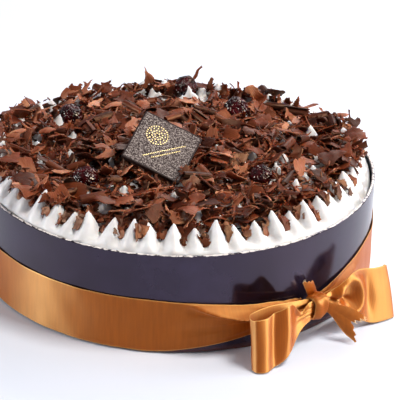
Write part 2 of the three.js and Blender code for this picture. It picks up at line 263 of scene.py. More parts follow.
def scatter(weight: float, radius: tuple[float, float, float], scale_mm: float) -> dict[str, object]:
    """Return the values for light that spreads under the surface.

    Args:
        weight: How much of the light does.
        radius: How far red, green and blue reach, as shares of the scale.
        scale_mm: The scale.
    """
    reach = {"Subsurface Radius": radius, "Subsurface Scale": scale_mm * MM}
    return {"Subsurface Weight": weight} | reach


@dataclass(frozen=True)
class Finish:
    """A surface finish: a Principled material whose patterns its own class adds."""

    name: str
    slot: str
    colour: str
    roughness: float = 0.5
    ior: float = 1.5

    def look(self, tree: Tree) -> dict[str, object]:
        """Return the finish's own surface values, some of them fed by pattern nodes."""
        return {}

    def material(self) -> bpy.types.Material:
        """Return the finish's material, made on its first use."""
        known = bpy.data.materials.get(self.name)
        if known:
            return known
        made = bpy.data.materials.new(self.name)
        made.use_nodes = True
        tree = made.node_tree
        plain = {"Base Color": linear(self.colour), "Roughness": self.roughness, "IOR": self.ior}
        fill(tree, tree.nodes["Principled BSDF"], plain | self.look(tree))
        return made


@dataclass(frozen=True)
class TemperedChocolate(Finish):
    """Dark chocolate set against a plastic strip: almost black, glossy, with a faint dusty bloom."""

    bloom: str = "2C2436"
    bloom_mm: float = 40.0
    cream: str = "E9E2DA"
    crumb_mm: float = 3.0
    brown: str = "4A2A20"

    def look(self, tree: Tree) -> dict[str, object]:
        """Return the bloom's clouds, a dull brown foot and cream smears on the rim."""
        at = body(tree)
        up = add_node(tree, "SeparateXYZ", {"Vector": at}, "Z")
        clouds = grain(tree, at, self.bloom_mm, 4.0, 0.6)
        veil = ramp(tree, clouds, (0.35, self.colour), (0.75, self.bloom))
        rim = ranged(tree, up, ((RIM - 1.2) * MM, (RIM - 0.1) * MM))
        grit = grain(tree, at, self.crumb_mm, 5.0, 0.7)
        smear = ranged(tree, reckon(tree, "MULTIPLY", rim, grit), (0.42, 0.5))
        foot = ranged(tree, up, (5 * MM, 1.5 * MM))
        browned = overlaid(tree, veil, self.brown, foot)
        gloss = ranged(tree, clouds, (0.35, 0.75), (0.12, 0.24))
        return {
            "Base Color": overlaid(tree, browned, self.cream, smear),
            "Roughness": reckon(tree, "MAXIMUM", gloss, smear),
            "Specular Tint": linear("E9D8FF"),
            "Specular IOR Level": 0.58,
            "Normal": emboss(tree, clouds, 0.12, 0.6),
        }


@dataclass(frozen=True)
class WhippedCream(Finish):
    """Whipped cream: bright, dense and softly lit from within, with fine air holes."""

    # painted shade: this greyer colour, in random patches, stands in for soft shade in the cream's hollows
    hollow: str = "E2DFDD"
    shade_patch_mm: float = 9.0
    pore_mm: float = 1.4

    def look(self, tree: Tree) -> dict[str, object]:
        """Return light scatter, random warm grey patches of painted soft shade, and fine pores."""
        at = body(tree)
        shade_patches = grain(tree, at, self.shade_patch_mm, 3.0)
        return {
            "subsurface_method": "RANDOM_WALK",
            "Base Color": ramp(tree, shade_patches, (0.35, self.hollow), (0.7, self.colour)),
            "Normal": emboss(tree, grain(tree, at, self.pore_mm, 4.0, 0.65), 0.18, 0.5),
        } | scatter(0.35, (1.0, 0.85, 0.7), 2.5)


@dataclass(frozen=True)
class ShavedChocolate(Finish):
    """Chocolate scraped off a block: waxy and dull, streaked along the blade's path."""

    dark: str = "260702"
    deep: str = "4A1A0C"
    light: str = "BC7E60"
    streak_mm: Span = (9.0, 0.8)  # along the flake and across it

    def look(self, tree: Tree) -> dict[str, object]:
        """Return a tone for each flake, painted shade included, streaks along it, a waxy grain and warm
        scatter at its edges.
        """
        tone = add_node(tree, "Attribute", {"attribute_name": "tone"}, "Fac")
        flat = add_node(tree, "UVMap", {"uv_map": "flake"})
        streaks = drawn_out(tree, flat, self.streak_mm, 0.6)
        shift = reckon(tree, "MULTIPLY_ADD", streaks, 0.4, -0.2)
        total = reckon(tree, "ADD", tone, shift, kept=True)
        shades = ((0.0, self.dark), (0.35, self.deep), (0.68, self.colour), (1.0, self.light))
        return {
            "Base Color": ramp(tree, total, *shades),
            "Specular IOR Level": 0.3,
            "Specular Tint": linear("FFCBA6"),
            "Normal": emboss(tree, streaks, 0.6, 0.5),
        } | scatter(0.3, (1.0, 0.28, 0.1), 1.6)


@dataclass(frozen=True)
class GlazedCherry(Finish):
    """A preserved cherry: near-black red flesh, wrinkled, under a wet clear syrup."""

    flush: str = "4C080D"
    flush_mm: float = 6.0
    wrinkle_mm: float = 2.6

    def look(self, tree: Tree) -> dict[str, object]:
        """Return a red flush, wrinkles and the syrup's coat."""
        at = body(tree)
        flushes = grain(tree, at, self.flush_mm, 3.0)
        return {
            "Coat Weight": 0.35,
            "Coat Roughness": 0.06,
            "Specular IOR Level": 0.12,
            "Base Color": ramp(tree, flushes, (0.4, self.colour), (0.7, self.flush)),
            "Normal": emboss(tree, grain(tree, at, self.wrinkle_mm, 1.0), 0.12, 0.8),
        } | scatter(0.2, (1.0, 0.15, 0.1), 2)


@dataclass(frozen=True)
class DustedChocolate(Finish):
    """A chocolate tile dusted with pale cocoa butter specks off its transfer sheet."""

    haze: str = "574B49"
    speck: str = "A79B93"
    speck_mm: float = 1.0

    def look(self, tree: Tree) -> dict[str, object]:
        """Return pale specks that thin out towards the tile's edges."""
        grains = grain(tree, body(tree), self.speck_mm, 2.0, 0.7)
        fade = add_node(tree, "Attribute", {"attribute_name": "face"}, "Fac")
        share = reckon(tree, "MULTIPLY", grains, fade)
        return {
            "Base Color": ramp(tree, share, (0.4, self.colour), (0.5, self.haze), (0.64, self.speck)),
            "Specular IOR Level": 0.1,
            "Normal": emboss(tree, grains, 0.25, 0.3),
        }


@dataclass(frozen=True)
class GoldDust(Finish):
    """Edible gold powder in cocoa butter: pale, warm and only half metallic to the eye."""

    def look(self, tree: Tree) -> dict[str, object]:
        """Return a partly metallic surface."""
        return {"Metallic": 0.55}


@dataclass(frozen=True)
class SatinRibbon(Finish):
    """Woven polyester satin: long floats along the ribbon give a soft shine across it."""

    # painted sheen: the lighter satin colour, laid on the weave's real ribs and slubs
    shine: str = "AC5412"
    # painted highlight: the paler colour along both edges of the ribbon
    painted_edge_highlight: str = "DDA860"
    rib_mm: float = 1.1  # the real picks lie 0.2 mm apart, too fine to show
    slub_mm: Span = (3.0, 26.0)
    edge_mm: Span = (0.9, 0.3)
    width_mm: float = 38.0

    def look(self, tree: Tree) -> dict[str, object]:
        """Return the weave's ribs, a painted sheen where they and the slubs run high, and a painted
        highlight along both edges.
        """
        flat = add_node(tree, "UVMap", {"uv_map": "ribbon"})
        weave = {"bands_direction": "X", "Scale": 0.314 / (self.rib_mm * MM), "Distortion": 1.2}
        weave |= {"Vector": flat, "Detail": 2.0, "Detail Scale": 1.5}
        ribs = add_node(tree, "TexWave", weave, "Fac")
        blend = reckon(tree, "MULTIPLY_ADD", ribs, 0.22, drawn_out(tree, flat, self.slub_mm))
        tint = ramp(tree, blend, (0.3, self.colour), (0.95, self.shine))
        across = add_node(tree, "SeparateXYZ", {"Vector": flat}, "Y")
        edge = reckon(tree, "PINGPONG", across, self.width_mm * MM / 2)
        inner, outer = self.edge_mm
        # painted highlight: share of the paler edge colour, up to half
        bright = ranged(tree, edge, (inner * MM, outer * MM), (0.0, 0.5))
        return {
            "Base Color": overlaid(tree, tint, self.painted_edge_highlight, bright),
            "Anisotropic": 0.8,
            "Anisotropic Rotation": 0.25,
            "Tangent": add_node(tree, "Tangent", {"direction_type": "UV_MAP", "uv_map": "ribbon"}),
            "Specular Tint": linear("FFD68A"),
            "Normal": emboss(tree, ribs, 0.12, 0.15),
        }


@dataclass(frozen=True)
class CocoaSponge(Finish):
    """Baked cocoa sponge: matte and open, with holes a millimetre or two across."""

    # painted shade: the dark colour inside the crumb's holes
    hole_shade: str = "24120B"
    hole_mm: float = 1.8

    def look(self, tree: Tree) -> dict[str, object]:
        """Return the crumb's holes, darkened with painted shade."""
        holes = {"Vector": body(tree), "Scale": 1 / (self.hole_mm * MM)}
        crumb = add_node(tree, "TexVoronoi", holes, "Distance")
        return {
            "Base Color": ramp(tree, crumb, (0.1, self.hole_shade), (0.6, self.colour)),
            "Normal": emboss(tree, crumb, 0.6, 0.8),
        }


COLLAR_CHOCOLATE = TemperedChocolate("tempered_dark_chocolate", "dark_chocolate", "170F12", 0.14)
CREAM = WhippedCream("whipped_dairy_cream", "cream", "EEEDEC", 0.5, 1.4)
SHAVINGS = ShavedChocolate("shaved_milk_chocolate", "shavings", "7A381D", 0.45, 1.5)
CHERRY = GlazedCherry("syrup_glazed_cherry", "cherry", "1C0306", 0.2, 1.4)
TILE = DustedChocolate("transfer_dusted_chocolate", "plaque", "2A1C1A", 0.42)
GOLD = GoldDust("gold_lustre_dust", "plaque", "E6D394", 0.4)
SATIN = SatinRibbon("gold_polyester_satin", "satin", "903F0A", 0.48, 1.7)
SPONGE = CocoaSponge("cocoa_sponge", "sponge", "4A2A1A", 0.9)
THREAD = Finish("cut_polyester_thread", "satin", "F0D2A4", 0.6)  # pale and matte against the satin
SWEEP = Finish("white_paper_sweep", "sponge", "DFE6F2", 0.8)  # a clean, shadow-soft ground


# Meshes.


def dress(piece: Piece, finish: Finish, *nodes: str) -> Piece:
    """Give a finished piece its material and its ride, hide the solids it stands for and log its faces.

    Args:
        piece: The finished object, at the origin.
        finish: Its surface finish.
        nodes: The solids it stands for.

    Returns:
        The same object.
    """
    piece.data.materials.clear()
    piece.data.materials.append(finish.material())
    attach(piece, "root")
    if nodes:
        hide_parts(*nodes)
    LOG.info("%s: %d faces", piece.name, len(piece.data.polygons))
    return piece


def link_mesh(mesh: bpy.types.Mesh, name: str) -> Piece:
    """Put a mesh in metres into the scene as an object of the given name."""
    piece = bpy.data.objects.new(name, mesh)
    bpy.context.scene.collection.objects.link(piece)
    return piece


def object_from(bm: Shape, name: str, crease: float = 40.0) -> Piece:
    """Turn a shape in millimetres into a smooth object in metres.

    Args:
        bm: The shape, which is freed here.
        name: The object's name.
        crease: Edges sharper than this many degrees stay sharp.
    """
    bmesh.ops.scale(bm, vec=(MM, MM, MM), verts=bm.verts)
    mesh = bpy.data.meshes.new(name)
    bm.to_mesh(mesh)
    bm.free()
    mesh.shade_smooth()
    mesh.set_sharp_from_angle(angle=math.radians(crease))
    return link_mesh(mesh, name)


def points_of(mesh: bpy.types.Mesh) -> Array:
    """Return a mesh's points as an (n, 3) array in metres."""
    points = np.zeros(len(mesh.vertices) * 3, np.float32)
    mesh.vertices.foreach_get("co", points)
    return points.reshape(-1, 3)


def in_order(bm: Shape) -> Shape:
    """Rebuild a shape, which is freed, with its points and faces in the same order on each run."""
    points = sorted(bm.verts, key=lambda vert: tuple(vert.co))
    places = {vert: index for index, vert in enumerate(points)}
    faces = []
    for face in bm.faces:
        corners = [places[vert] for vert in face.verts]
        first = corners.index(min(corners))
        faces.append(corners[first:] + corners[:first])
    fresh = bmesh.new()
    verts = [fresh.verts.new(vert.co) for vert in points]
    for corners in sorted(faces):
        fresh.faces.new([verts[index] for index in corners])
    bm.free()
    return fresh


def spun(profile: list[Span], steps: int, closed: bool = False) -> Shape:
    """Spin a profile of (radius, height) points about the Z axis.

    Args:
        profile: The points from one end to the other.
        steps: Facets of the full turn.
        closed: True joins the last point to the first.

    Returns:
        A closed shape with its faces pointing out.
    """
    bm = bmesh.new()
    points = [bm.verts.new((radius, 0, height)) for radius, height in profile]
    pairs = list(zip(points, points[1:]))
    if closed:
        pairs.append((points[-1], points[0]))
    lines = points + [bm.edges.new(pair) for pair in pairs]
    whole = {"angle": 2 * math.pi, "steps": steps, "use_merge": True}
    bmesh.ops.spin(bm, geom=lines, axis=(0, 0, 1), cent=(0, 0, 0), **whole)
    bmesh.ops.remove_doubles(bm, verts=bm.verts, dist=1e-4)
    bmesh.ops.recalc_face_normals(bm, faces=bm.faces)
    return in_order(bm)


def applied(piece: Piece) -> Piece:
    """Replace an object by one of the same name whose modifiers are applied."""
    graph = bpy.context.evaluated_depsgraph_get()
    mesh = bpy.data.meshes.new_from_object(piece.evaluated_get(graph))
    name = piece.name
    bpy.data.objects.remove(piece)
    mesh.name = name
    return link_mesh(mesh, name)


def rounded(bm: Shape, edges: list[bmesh.types.BMEdge], radius: float, segments: int) -> None:
    """Round edges of a shape off.

    Args:
        bm: The shape.
        edges: Its edges to round.
        radius: How far the rounding reaches to each side.
        segments: Its facets.
    """
    cut = {"offset": radius, "offset_type": "OFFSET", "affect": "EDGES", "segments": segments}
    bmesh.ops.bevel(bm, geom=edges, profile=0.5, material=-1, **cut)


def add_cone(bm: Shape, place: Matrix, sides: int, radii: Span, height: float) -> None:
    """Add a blunt capped cone.

    Args:
        bm: The shape it joins.
        place: Where its middle stands, and how it's turned.
        sides: Its facets.
        radii: Its radius at the foot and at the top.
        height: Its height.
    """
    ends = {"cap_ends": True, "radius1": radii[0], "radius2": radii[1]}
    bmesh.ops.create_cone(bm, segments=sides, depth=height, matrix=place, **ends)


# The studio.

LIT = Vector((0, 0, 60))  # what the lights face, in millimetres


@dataclass(frozen=True)
class Softbox:
    """A soft light that faces the cake."""

    name: str
    place: tuple[float, float, float]
    size: Span
    power: float  # watts
    tint: str
    only_shine: bool = False

    def hang(self) -> None:
        """Hang the light."""
        data = bpy.data.lights.new(self.name, "AREA")
        data.energy = self.power
        data.shape = "RECTANGLE"
        data.size, data.size_y = (side * MM for side in self.size)
        data.color = linear(self.tint)[:3]
        lamp = bpy.data.objects.new(self.name, data)
        place = Vector(self.place)
        lamp.location = place * MM
        lamp.rotation_euler = (LIT - place).to_track_quat("-Z", "Y").to_euler()
        lamp.visible_diffuse = not self.only_shine
        bpy.context.scene.collection.objects.link(lamp)


SOFTBOXES = (
    Softbox("key_light", (620, -250, 1400), (420, 420), 19, "FFFAF4"),
    Softbox("right_light", (1400, 100, 420), (700, 700), 16, "FBF8FF"),
    Softbox("left_light", (-1400, -90, 380), (380, 380), 8, "F8F8FF"),
    Softbox("back_light", (500, 1300, 1000), (900, 900), 14, "FFFFFF"),
    Softbox("left_sheen", (-1400, -440, 420), (260, 800), 60, "FFF8EE", True),
    Softbox("right_sheen", (1270, -560, 420), (620, 900), 80, "FFEBCB", True),
)


@dataclass
class Studio:
    """Camera, lights and a white sweep under the cake."""

    eye: tuple[float, float, float] = (16.6, -1197.7, 646.9)
    elevation: float = 26.777
    roll: float = 1.685
    sensor: float = 36.0
    lens: float = 171.73
    reach: float = 20.0  # metres that it sees
    sweep_side: float = 6000.0
    glow: str = "F2F5FF"
    glow_strength: float = 0.26

    def place_camera(self) -> None:
        """Create the camera and make it the scene's own."""
        rise, lean = math.radians(self.elevation), math.radians(self.roll)
        back = Vector((0, -math.cos(rise), math.sin(rise)))
        right = Vector((1, 0, 0))
        up = back.cross(right)
        turned_right = right * math.cos(lean) + up * math.sin(lean)
        turned_up = up * math.cos(lean) - right * math.sin(lean)
        data = bpy.data.cameras.new("camera")
        data.sensor_width = self.sensor
        data.lens = self.lens
        data.clip_end = self.reach
        camera = bpy.data.objects.new("camera", data)
        turn = Matrix((turned_right, turned_up, back)).transposed()
        camera.matrix_world = Matrix.Translation(Vector(self.eye) * MM) @ turn.to_4x4()
        bpy.context.scene.collection.objects.link(camera)
        bpy.context.scene.camera = camera

    def lay_sweep(self) -> None:
        """Lay the white paper that the cake stands on."""
        bm = bmesh.new()
        bmesh.ops.create_grid(bm, x_segments=1, y_segments=1, size=self.sweep_side / 2)
        sweep = object_from(bm, "paper_sweep")
        sweep.data.materials.append(SWEEP.material())

    def light(self) -> None:
        """Hang the lights and set the room's glow."""
        for softbox in SOFTBOXES:
            softbox.hang()
        world = bpy.data.worlds.new("room")
        bpy.context.scene.world = world
        world.use_nodes = True
        room = {"Color": linear(self.glow), "Strength": self.glow_strength}
        fill(world.node_tree, world.node_tree.nodes["Background"], room)
        bpy.context.scene.view_settings.view_transform = "Standard"

    def build(self) -> None:
        """Set up the whole studio."""
        self.place_camera()
        self.light()
        self.lay_sweep()
        LOG.info("studio is ready")


# The sponge and the collar.


@dataclass
class SpongeDrum:
    """The sponge inside the collar, kept as its solid."""

    node: str = "sponge_drum"

    def build(self) -> None:
        """Give the solid its crumb."""
        solid = frame["nodes"][self.node]
        solid.data.materials.clear()
        solid.data.materials.append(SPONGE.material())
        LOG.info("%s is dressed", self.node)


@dataclass
class ChocolateCollar:
    """A strip of dark chocolate wrapped round the cake, its ends lapped at the back."""

    radius: float = COLLAR_RADIUS
    wall: float = 2.0
    foot: float = 0.5
    height: float = RIM
    soft: float = 0.5  # rounding of its edges
    steps: int = 240
    levels: tuple[float, ...] = (5.0, 12.0, 24.0, 36.0, 46.0, 55.0, 62.0, 67.0)
    lap_turn: float = math.radians(160)
    lap_step: float = 0.7

    def build(self) -> Piece:
        """Model the collar and dress it."""
        inner, outer, soft = self.radius - self.wall, self.radius, self.soft
        profile = [(inner, self.foot + soft), (inner + soft, self.foot)]
        profile += [(outer - soft, self.foot), (outer, self.foot + soft)]
        profile += [(outer, level) for level in self.levels]
        profile += [(outer, self.height - soft), (outer - soft, self.height)]
        profile += [(inner + soft, self.height), (inner, self.height - soft)]
        profile += [(inner, 60.0), (inner, 30.0)]
        bm = spun(profile, self.steps, closed=True)
        for vert in bm.verts:
            turn = turn_of(vert.co.x, vert.co.y)
            drift = (turn - self.lap_turn) % (2 * math.pi)
            step = -self.lap_step * (1 - smooth(drift, 0.05, 0.9)) * smooth(drift, 0, 0.03)
            swell = 0.16 * noise.noise(vert.co * 0.018) + step
            ragged = 0.35 * noise.noise(vert.co * 0.21)
            top = smooth(vert.co.z, self.height - 2, self.height - 0.6)
            bottom = 1 - smooth(vert.co.z, self.foot + 0.6, self.foot + 2)
            outward = Vector((vert.co.x, vert.co.y, 0)).normalized()
            vert.co += outward * swell + Vector((0, 0, ragged * (top + bottom * 0.6)))
            vert.co.z = max(vert.co.z, 0.3)
        return dress(object_from(bm, "chocolate_collar_strip"), COLLAR_CHOCOLATE, "chocolate_collar")


# The cream.


@dataclass(frozen=True)
class CreamRing:
    """One ring of piped peaks."""

    count: int
    radius: float
    depth: float
    width: float
    height: float
    lean: float


@dataclass(frozen=True)
class Dollop:
    """A larger spoonful that shows between the shavings at the back."""

    turn: float  # degrees from the front
    radius: float
    height: float
    half: float  # half its width


@dataclass
class PipedCream:
    """The cream bed, the piped ring round the rim and the lower peaks under the shavings."""

    floor: float = 59.1
    bed: float = RIM + 0.5
    edge: float = INNER_RADIUS - 0.4
    sink: float = 2.5
    dips: tuple[tuple[float, float, float], ...] = ((78, 17, 7.5), (112, 9, 2.5))  # angle, width, depth
    back_drop: float = 4.0  # how much lower the peaks under the heap stand at the back
    voxel: float = 1.33
    seed: int = 11
    rings: tuple[CreamRing, ...] = (
        CreamRing(RIM_PEAKS, 123.4, 11.4, 7.9, 17, 5),
        CreamRing(40, 99, 10, 7, 16.5, 2),
        CreamRing(28, 76, 10, 7, 17, 1),
        CreamRing(18, 52, 10, 7, 17.5, 0),
        CreamRing(10, 28, 9, 7, 18, 0),
    )
    dollops: tuple[Dollop, ...] = (
        Dollop(176.3, 92.5, 23, 5.6),
        Dollop(179.5, 91, 16, 5.0),
        Dollop(172.8, 93, 18, 5.4),
        Dollop(171.0, 104, 17, 6.5),
        Dollop(-168.0, 106, 14, 5.2),
        Dollop(-171.5, 102, 12, 4.6),
        Dollop(-163.5, 101, 9, 4.8),
    )

    def __post_init__(self) -> None:
        """Model the unit drop: foot radius 1 and height 1, rounded below and drawn to a tip."""
        profile = [(0.0, -0.05), (0.7, -0.03), (0.96, 0.02), (0.97, 0.1), (0.87, 0.25)]
        profile += [(0.71, 0.4), (0.51, 0.57), (0.32, 0.74), (0.17, 0.87), (0.07, 0.96), (0, 1)]
        bm = spun(profile, 20)
        self.drop = bpy.data.meshes.new("drop")
        bm.to_mesh(self.drop)
        bm.free()

    def add_drop(self, bm: Shape) -> list[bmesh.types.BMVert]:
        """Add a unit drop to the cream, and return its points."""
        first = len(bm.verts)
        bm.from_mesh(self.drop)
        bm.verts.ensure_lookup_table()
        return bm.verts[first:]

    def spoon(self, bm: Shape, dollop: Dollop) -> None:
        """Add a dollop to the cream."""
        base = polar(math.radians(dollop.turn), dollop.radius, self.bed - self.sink)
        for vert in self.add_drop(bm):
            rise = vert.co.z * (dollop.height + self.sink)
            wide = 1 + 0.9 * max(vert.co.z, 0.0) ** 2
            bent = Vector((vert.co.x * dollop.half * wide, vert.co.y * dollop.half * wide, rise))
            spot = (base + bent) * 0.13
            sway = [noise.noise(spot + Vector((0, 0, 30 * axis))) for axis in range(3)]
            vert.co = base + bent + 3.2 * Vector(sway)

    def pipe(self, bm: Shape, ring: CreamRing, draw: CakeRandom) -> None:
        """Pipe one ring of peaks.

        Args:
            bm: The cream so far.
            ring: The ring's sizes.
            draw: The stream of random numbers.
        """
        for index in range(ring.count):
            turn = (index + 0.25 * (draw() - 0.5)) / ring.count * 2 * math.pi
            away = math.pi - abs(turn - math.pi)
            sunk = 1 - 0.4 * smooth(away, 1.85, 2.3) - 0.16 * (1 - smooth(away, 0.5, 1.1))
            height = ring.height * (0.76 + 0.44 * draw()) * sunk + self.sink
            lean_in = ring.lean * (0.6 + 0.8 * draw())
            lean_aside = 6 * (draw() - 0.5)
            width = ring.width * (0.92 + 0.16 * draw())
            for vert in self.add_drop(bm):
                side = math.atan2(vert.co.y, vert.co.x)
                lobes = 1 + 0.05 * math.cos(3 * side + index) * (1 - vert.co.z)
                rise = vert.co.z
                curve = max(rise, 0.0) ** 1.5
                x = vert.co.x * ring.depth * lobes - lean_in * curve
                y = vert.co.y * width * lobes + lean_aside * curve
                place = Vector((ring.radius + x, y, self.bed - self.sink + rise * height))
                vert.co = Matrix.Rotation(turn - math.pi / 2, 3, "Z") @ place

    def settle(self, vert: bmesh.types.BMVert) -> None:
        """Let a point of the bed sink unevenly along the collar and behind the middle."""
        radius = math.hypot(vert.co.x, vert.co.y)
        turn = turn_of(vert.co.x, vert.co.y)
        outer = smooth(radius, 122, 134)
        gap = sum(deep * bump(math.degrees(turn), at, width) for at, width, deep in self.dips)
        uneven = 1.3 * noise.noise(Vector((vert.co.x * 0.09, vert.co.y * 0.09, 3)))
        if vert.co.z > self.bed - 4:
            vert.co.z += outer * (uneven - gap)
        hidden = behind(turn) * (1 - smooth(radius, 108, 116))
        if vert.co.z > self.bed + 1:
            vert.co.z = max(vert.co.z - self.back_drop * hidden, self.bed + 1)
        if radius > self.edge:
            vert.co.xy *= self.edge / radius

    def ruffle(self, mesh: bpy.types.Mesh) -> None:
        """Give the remeshed skin, in metres, the soft unevenness of whipped cream."""
        points = points_of(mesh)
        normals = np.zeros(points.size, np.float32)
        mesh.vertex_normals.foreach_get("vector", normals)
        normals = normals.reshape(-1, 3)
        for index in np.nonzero(points[:, 2] > (self.bed - 9) * MM)[0]:
            place = Vector(points[index]) / MM
            soft = 0.45 * noise.noise(place * 0.16) + 0.22 * noise.noise(place * 0.45)
            points[index] += normals[index] * soft * MM
        radii = np.hypot(points[:, 0], points[:, 1])
        limit = INNER_RADIUS * MM
        over = radii > limit
        points[over, :2] *= (limit / radii[over])[:, None]
        mesh.vertices.foreach_set("co", points.ravel())

    def build(self) -> Piece:
        """Model the cream as one skin and dress it."""
        edge, bed = self.edge, self.bed
        profile = [(0.0, self.floor), (edge, self.floor), (edge, bed - 1.6), (edge - 1.0, bed - 0.4)]
        profile += [(edge - 3, bed), (110, bed), (104, bed + 6), (80, bed + 8), (0.0, bed + 11)]
        bm = spun(profile, 180)
        bmesh.ops.subdivide_edges(bm, edges=bm.edges, cuts=1, use_grid_fill=True)
        bm = in_order(bm)
        draw = CakeRandom(self.seed)
        for ring in self.rings:
            self.pipe(bm, ring, draw)
        for dollop in self.dollops:
            self.spoon(bm, dollop)
        for vert in bm.verts:
            self.settle(vert)
        rough = object_from(bm, "whipped_cream_piped")
        remesh = rough.modifiers.new("skin", "REMESH")
        remesh.mode = "VOXEL"
        remesh.voxel_size = self.voxel * MM
        relax = rough.modifiers.new("relax", "SMOOTH")
        relax.factor = 0.5
        relax.iterations = 2
        piece = applied(rough)
        self.ruffle(piece.data)
        piece.data.shade_smooth()
        return dress(piece, CREAM, "whipped_cream")


# Toppings.


@dataclass
class Plaque:
    """A square chocolate tile that leans back on the shavings."""

    side: float = 43.0
    thickness: float = 3.0
    middle: Vector = field(default_factory=lambda: Vector((-10.1, -34.3, RIM + 27)))
    facing: Vector = field(default_factory=lambda: Vector((0.235, -0.486, 0.842)).normalized())
    edge_hint: Vector = field(default_factory=lambda: Vector((0.907, -0.2, -0.37)))
    corner: float = 1.6  # rounding of its corners
    soft: float = 0.5  # rounding of its edges
    frame: float = 1.3  # how far the flat faces stay inside the edges
    rings: tuple[tuple[float, int], ...] = ((1.8, 6), (3.7, 12), (5.6, 12), (7.4, 26))  # radius, dots
    rosette: float = 9.5  # from the tile's middle to the rings' middle
    rules: tuple[tuple[float, int], ...] = ((-3.2, 12), (-6.2, 8))  # place, dots to each side
    pitch: float = 1.3  # from dot to dot along a rule
    dot: float = 0.5  # radius
    fine_dot: float = 0.42

    def __post_init__(self) -> None:
        """Work out the tile's own axes: along its upper edge, down its face, and outwards."""
        self.up_face = self.facing.cross(self.edge_hint).normalized()
        self.along = self.up_face.cross(self.facing).normalized()
        turn = Matrix((self.along, self.up_face, self.facing)).transposed()
        self.place = Matrix.Translation(self.middle) @ turn.to_4x4()
        self.axes = np.array([self.along, self.up_face, self.facing])

    def build(self) -> Piece:
        """Model the tile and dress it."""
        bm = bmesh.new()
        bmesh.ops.create_cube(bm, size=1.0)
        bmesh.ops.scale(bm, vec=(self.side, self.side, self.thickness), verts=bm.verts)
        rounded(bm, [e for e in bm.edges if abs(e.verts[0].co.z - e.verts[1].co.z) > 1], self.corner, 4)
        caps = [f for f in bm.faces if abs(f.normal.z) > 0.9]
        bmesh.ops.inset_region(bm, faces=caps, thickness=self.frame)
        sides = [f for f in bm.faces if abs(f.normal.z) < 0.5]
        rims = {e for f in sides for e in f.edges if abs(e.verts[0].co.z - e.verts[1].co.z) < 1e-3}
        rounded(bm, list(rims), self.soft, 3)
        face_layer = bm.verts.layers.float.new("face")
        reach = self.side / 2 - 1.0
        for vert in bm.verts:
            inside = max(abs(vert.co.x), abs(vert.co.y)) < reach
            vert[face_layer] = 1.0 if inside and vert.co.z > 0 else 0.35
        bmesh.ops.transform(bm, matrix=self.place, verts=bm.verts)
        return dress(object_from(bm, "chocolate_plaque_tile", 25), TILE, "chocolate_plaque")

    def gild(self) -> Piece:
        """Print a plain rosette of gold dots with two dotted rules under it."""
        bm = bmesh.new()
        toward = Vector((-1, 1)).normalized()  # from the tile's middle to its raised corner
        beside = Vector((-toward.y, toward.x))
        dots = []
        for ring, count in self.rings:
            for index in range(count):
                turn = (index + 0.5 * (ring > 4)) / count * 2 * math.pi
                away = Vector((math.cos(turn), math.sin(turn))) * ring
                dots.append((toward * self.rosette + away, self.dot))
        for row, half in self.rules:
            for index in range(-half, half + 1):
                dots.append((toward * row + beside * (index * self.pitch), self.fine_dot))
        for spot, size in dots:
            place = Matrix.Translation((spot.x, spot.y, self.thickness / 2 + 0.05))
            add_cone(bm, place, 8, (size, size * 0.7), 0.12)
        bmesh.ops.transform(bm, matrix=self.place, verts=bm.verts)
        return dress(object_from(bm, "plaque_gold_rosette"), GOLD)


@dataclass(frozen=True)
class Cherry:
    """A preserved cherry, slightly flattened, shrunk into deep wrinkles round its stalk's dimple."""

    index: int
    turn: float  # degrees from the front
    distance: float
    lift: float  # its middle's height above the rim
    radius: float
    shown: float = 0.66  # share of its radius that no flake covers
    dimple: float = 1.7  # depths in millimetres, of these three
    wrinkle: float = 0.9
    dent: float = 0.8

    @property
    def middle(self) -> Vector:
        """The cherry's middle, in millimetres."""
        return polar(math.radians(self.turn), self.distance, RIM + self.lift)

    def build(self) -> Piece:
        """Model the cherry and dress it."""
        bm = bmesh.new()
        bmesh.ops.create_icosphere(bm, subdivisions=6, radius=self.radius)
        stalk = Vector((0.4, -0.3, 0.86)).normalized()
        shift = Vector((self.index * 7, 0, 0))
        for vert in bm.verts:
            way = vert.co.normalized()
            dimple = self.dimple * bump(1 - way.dot(stalk), 0, 0.12)
            stretched = Vector((way.x * 3.4, way.y * 3.4, way.z * 1.7)) + shift
            crease = 1 - min(1.0, 4 * abs(noise.noise(stretched)))
            dent = self.dent * noise.noise(way * 2.1 - shift)
            vert.co -= way * (dimple + self.wrinkle * crease**2 + dent)
        squash = Matrix.Diagonal((1, 0.96, 0.9, 1))
        turn = Matrix.Rotation(0.3, 4, "X") @ Matrix.Rotation(self.index * 1.3, 4, "Z")
        bmesh.ops.transform(bm, matrix=turn @ squash, verts=bm.verts)
        bmesh.ops.translate(bm, vec=self.middle, verts=bm.verts)
        return dress(object_from(bm, f"glazed_cherry_{self.index}"), CHERRY, f"cherry_{self.index}")


CHERRIES = (
    Cherry(1, -123.5, 93.5, 10.5, 8.6),
    Cherry(2, -47, 82.6, 13.5, 8.8),
    Cherry(3, 51.7, 72.6, 13.5, 8.2),
    Cherry(4, 150, 82, 10.5, 9.3),
    Cherry(5, 178, 102, 14, 8.4, 0.45),
)


# The shavings.

TRIANGLES_A_PIECE = 198_000


class FlakeForm(Enum):
    """How a scraped flake came off the block."""

    SHEET = "sheet"
    ROLL = "roll"


@dataclass(frozen=True)
class FlakeKind:
    """One kind of flake: how many, how large, how curved and how steeply they lie."""

    name: str
    count: int
    moulds: int
    length: Span
    width: Span
    cells: tuple[int, int]
    curl: Span  # curvature per millimetre, either way
    thickness: float
    lean: Span  # degrees from lying flat
    sink: float
    tone: Span
    form: FlakeForm = FlakeForm.SHEET

    @property
    def most(self) -> int:
        """How many of its flakes one piece may hold."""
        long, wide = self.cells
        return TRIANGLES_A_PIECE // (4 * (long * wide + long + wide))


